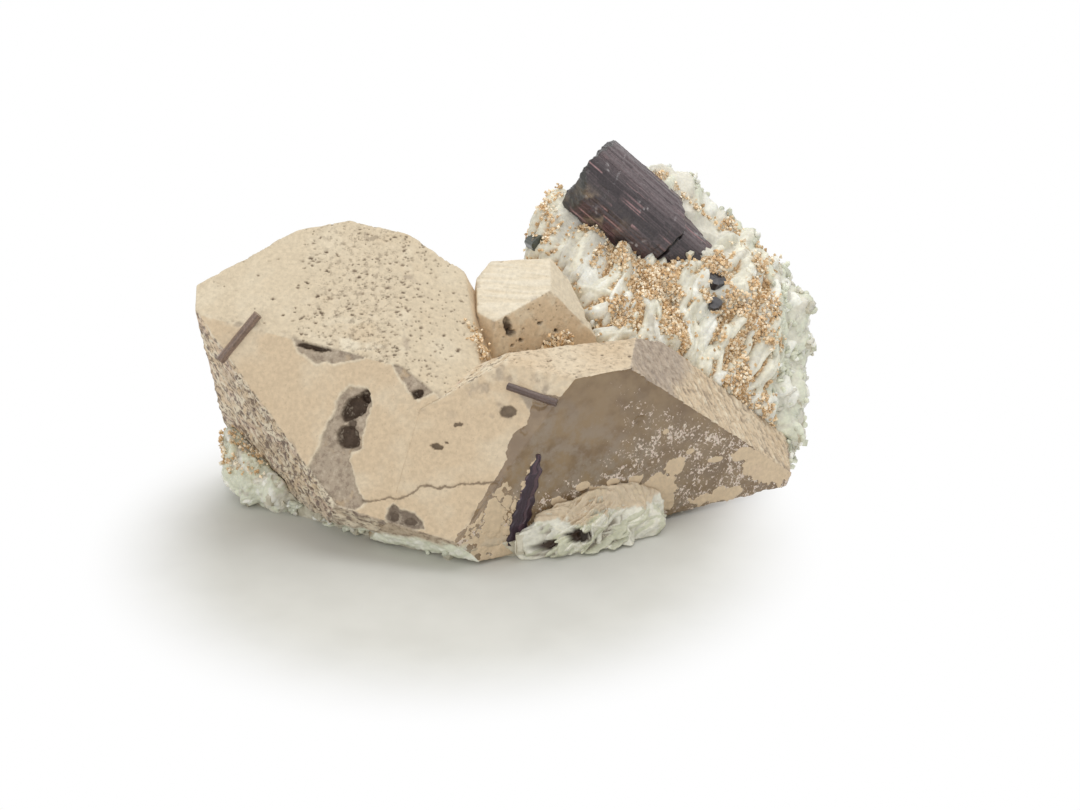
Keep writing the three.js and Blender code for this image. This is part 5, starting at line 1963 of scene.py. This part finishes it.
    def build(self, quartz: Quartz) -> None:
        """Make every tourmaline and stand it for its solid."""
        glassy = StoneFinish(
            "tourmaline_glassy", roughness=0.30, grain=0.5, depth=0.03,
            dark=0.75, light=1.2, coat=0.15, shine=0.5,
        ).material()
        big = self.big_prism()
        dress(big, glassy, "tourmaline")
        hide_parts("tourmaline_crystal")
        for name, foot, head, radius, seed, tone, node, slot in LITTLE_PRISMS:
            piece = self.small_prism(name, np.array(foot) + SHIFT, np.array(head) + SHIFT, radius, seed, tone)
            dress(piece, glassy, slot)
            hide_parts(node)
        foot, right, up = quartz.left.axes("front")
        out = np.cross(right, up)
        for name, a, b, radius, seed, tone, node in RODS:
            start, end = (foot + right * p[0] + up * p[1] + out * p[2] for p in (a, b))
            piece = self.small_prism(name, start, end, radius, seed, tone)
            dress(piece, glassy, "brown_tourmaline")
            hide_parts(node)
        sliver = self.sliver_piece(quartz)
        dress(sliver, glassy, "black_tourmaline")
        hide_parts("tourmaline_sliver")


# Room


@dataclass
class Studio:
    """Pale table, soft light from above and behind, and the camera."""

    eye: tuple = (4.1, -412.3, 186.3)
    pitch: float = 22.0
    lens: float = 60.0
    sky: float = 0.66
    lamp_power: float = 3.6
    lamp_place: tuple = (110.0, 190.0, 720.0)
    lamp_size: float = 0.75
    front_power: float = 1.1
    shade_centre: tuple = (-0.016, -0.030, 0.0)
    shade_span: tuple = (0.052, 0.087)
    table_dark: tuple = (0.62, 0.615, 0.57)
    table_light: tuple = (0.65, 0.645, 0.60)
    table_size: float = 9000.0

    def camera(self) -> None:
        """Camera at the photograph's viewing angle."""
        data = bpy.data.cameras.new("camera")
        data.lens, data.sensor_width, data.clip_start = self.lens, 36.0, 0.01
        eye = bpy.data.objects.new("camera", data)
        eye.location = Vector(self.eye) * MM
        eye.rotation_euler = (np.radians(90.0 - self.pitch), 0.0, 0.0)
        bpy.context.scene.collection.objects.link(eye)
        bpy.context.scene.camera = eye

    def lamp(self, name: str, place: tuple, target: tuple, size: float, power: float) -> None:
        """One soft square lamp aimed at a place."""
        data = bpy.data.lights.new(name, "AREA")
        data.size, data.energy, data.shape = size, power, "SQUARE"
        lamp = bpy.data.objects.new(name, data)
        lamp.location = Vector(place) * MM
        lamp.rotation_euler = (Vector(target) * MM - lamp.location).to_track_quat("-Z", "Y").to_euler()
        bpy.context.scene.collection.objects.link(lamp)

    def table(self) -> None:
        """Pale table that turns pure white away from the specimen."""
        size, steps = self.table_size, 91
        axis = np.linspace(-1, 1, steps)
        axis = np.sign(axis) * np.abs(axis) ** 2 * size
        x, y = np.meshgrid(axis, axis, indexing="ij")
        corners = np.stack([x, y, np.zeros_like(x)], -1).reshape(-1, 3)
        piece = make_mesh("table", corners, grid_faces(steps, steps)[:, ::-1], soft=True)
        g = Graph("table_white")
        length = g.distance(self.shade_centre)
        grain = g.noise(14.0, 2.0)
        base = g.blend(g.span(grain, 0.3, 0.7), rgba(self.table_dark), rgba(self.table_light))
        near = g.node(
            "ShaderNodeBsdfPrincipled", {"Base Color": base, "Roughness": 0.55, "Specular IOR Level": 0.2}
        )
        far = g.node("ShaderNodeEmission", {"Color": (1, 1, 1, 1), "Strength": 1.0})
        mixed = g.mix(g.span(length, *self.shade_span), near, far)
        dress(piece, g.surface(mixed.outputs[0]))
        piece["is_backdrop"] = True

    def build(self) -> None:
        """Set the world, the lamps, the table and the camera."""
        scene = bpy.context.scene
        world = bpy.data.worlds.new("studio")
        world.use_nodes = True
        world.node_tree.nodes["Background"].inputs[0].default_value = (1.0, 1.0, 1.0, 1.0)
        world.node_tree.nodes["Background"].inputs[1].default_value = self.sky
        scene.world = world
        scene.view_settings.view_transform = "Standard"
        self.lamp("overhead", self.lamp_place, (0, 0, 30), self.lamp_size, self.lamp_power)
        self.lamp("front_fill", (-200, -620, 200), (0, 0, 30), 0.5, self.front_power)
        self.table()
        self.camera()


def main() -> None:
    """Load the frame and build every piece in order."""
    logging.basicConfig(level=logging.INFO, format="%(name)s %(message)s", force=True)
    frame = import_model()
    solid_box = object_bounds()
    Studio().build()
    quartz = Quartz()
    quartz.build()
    tourmaline = Tourmaline()
    tourmaline.build(quartz)
    Albite(quartz, frame["nodes"]["albite_matrix"], np.array(solid_box) / MM).build()


if __name__ == "__main__":
    main()
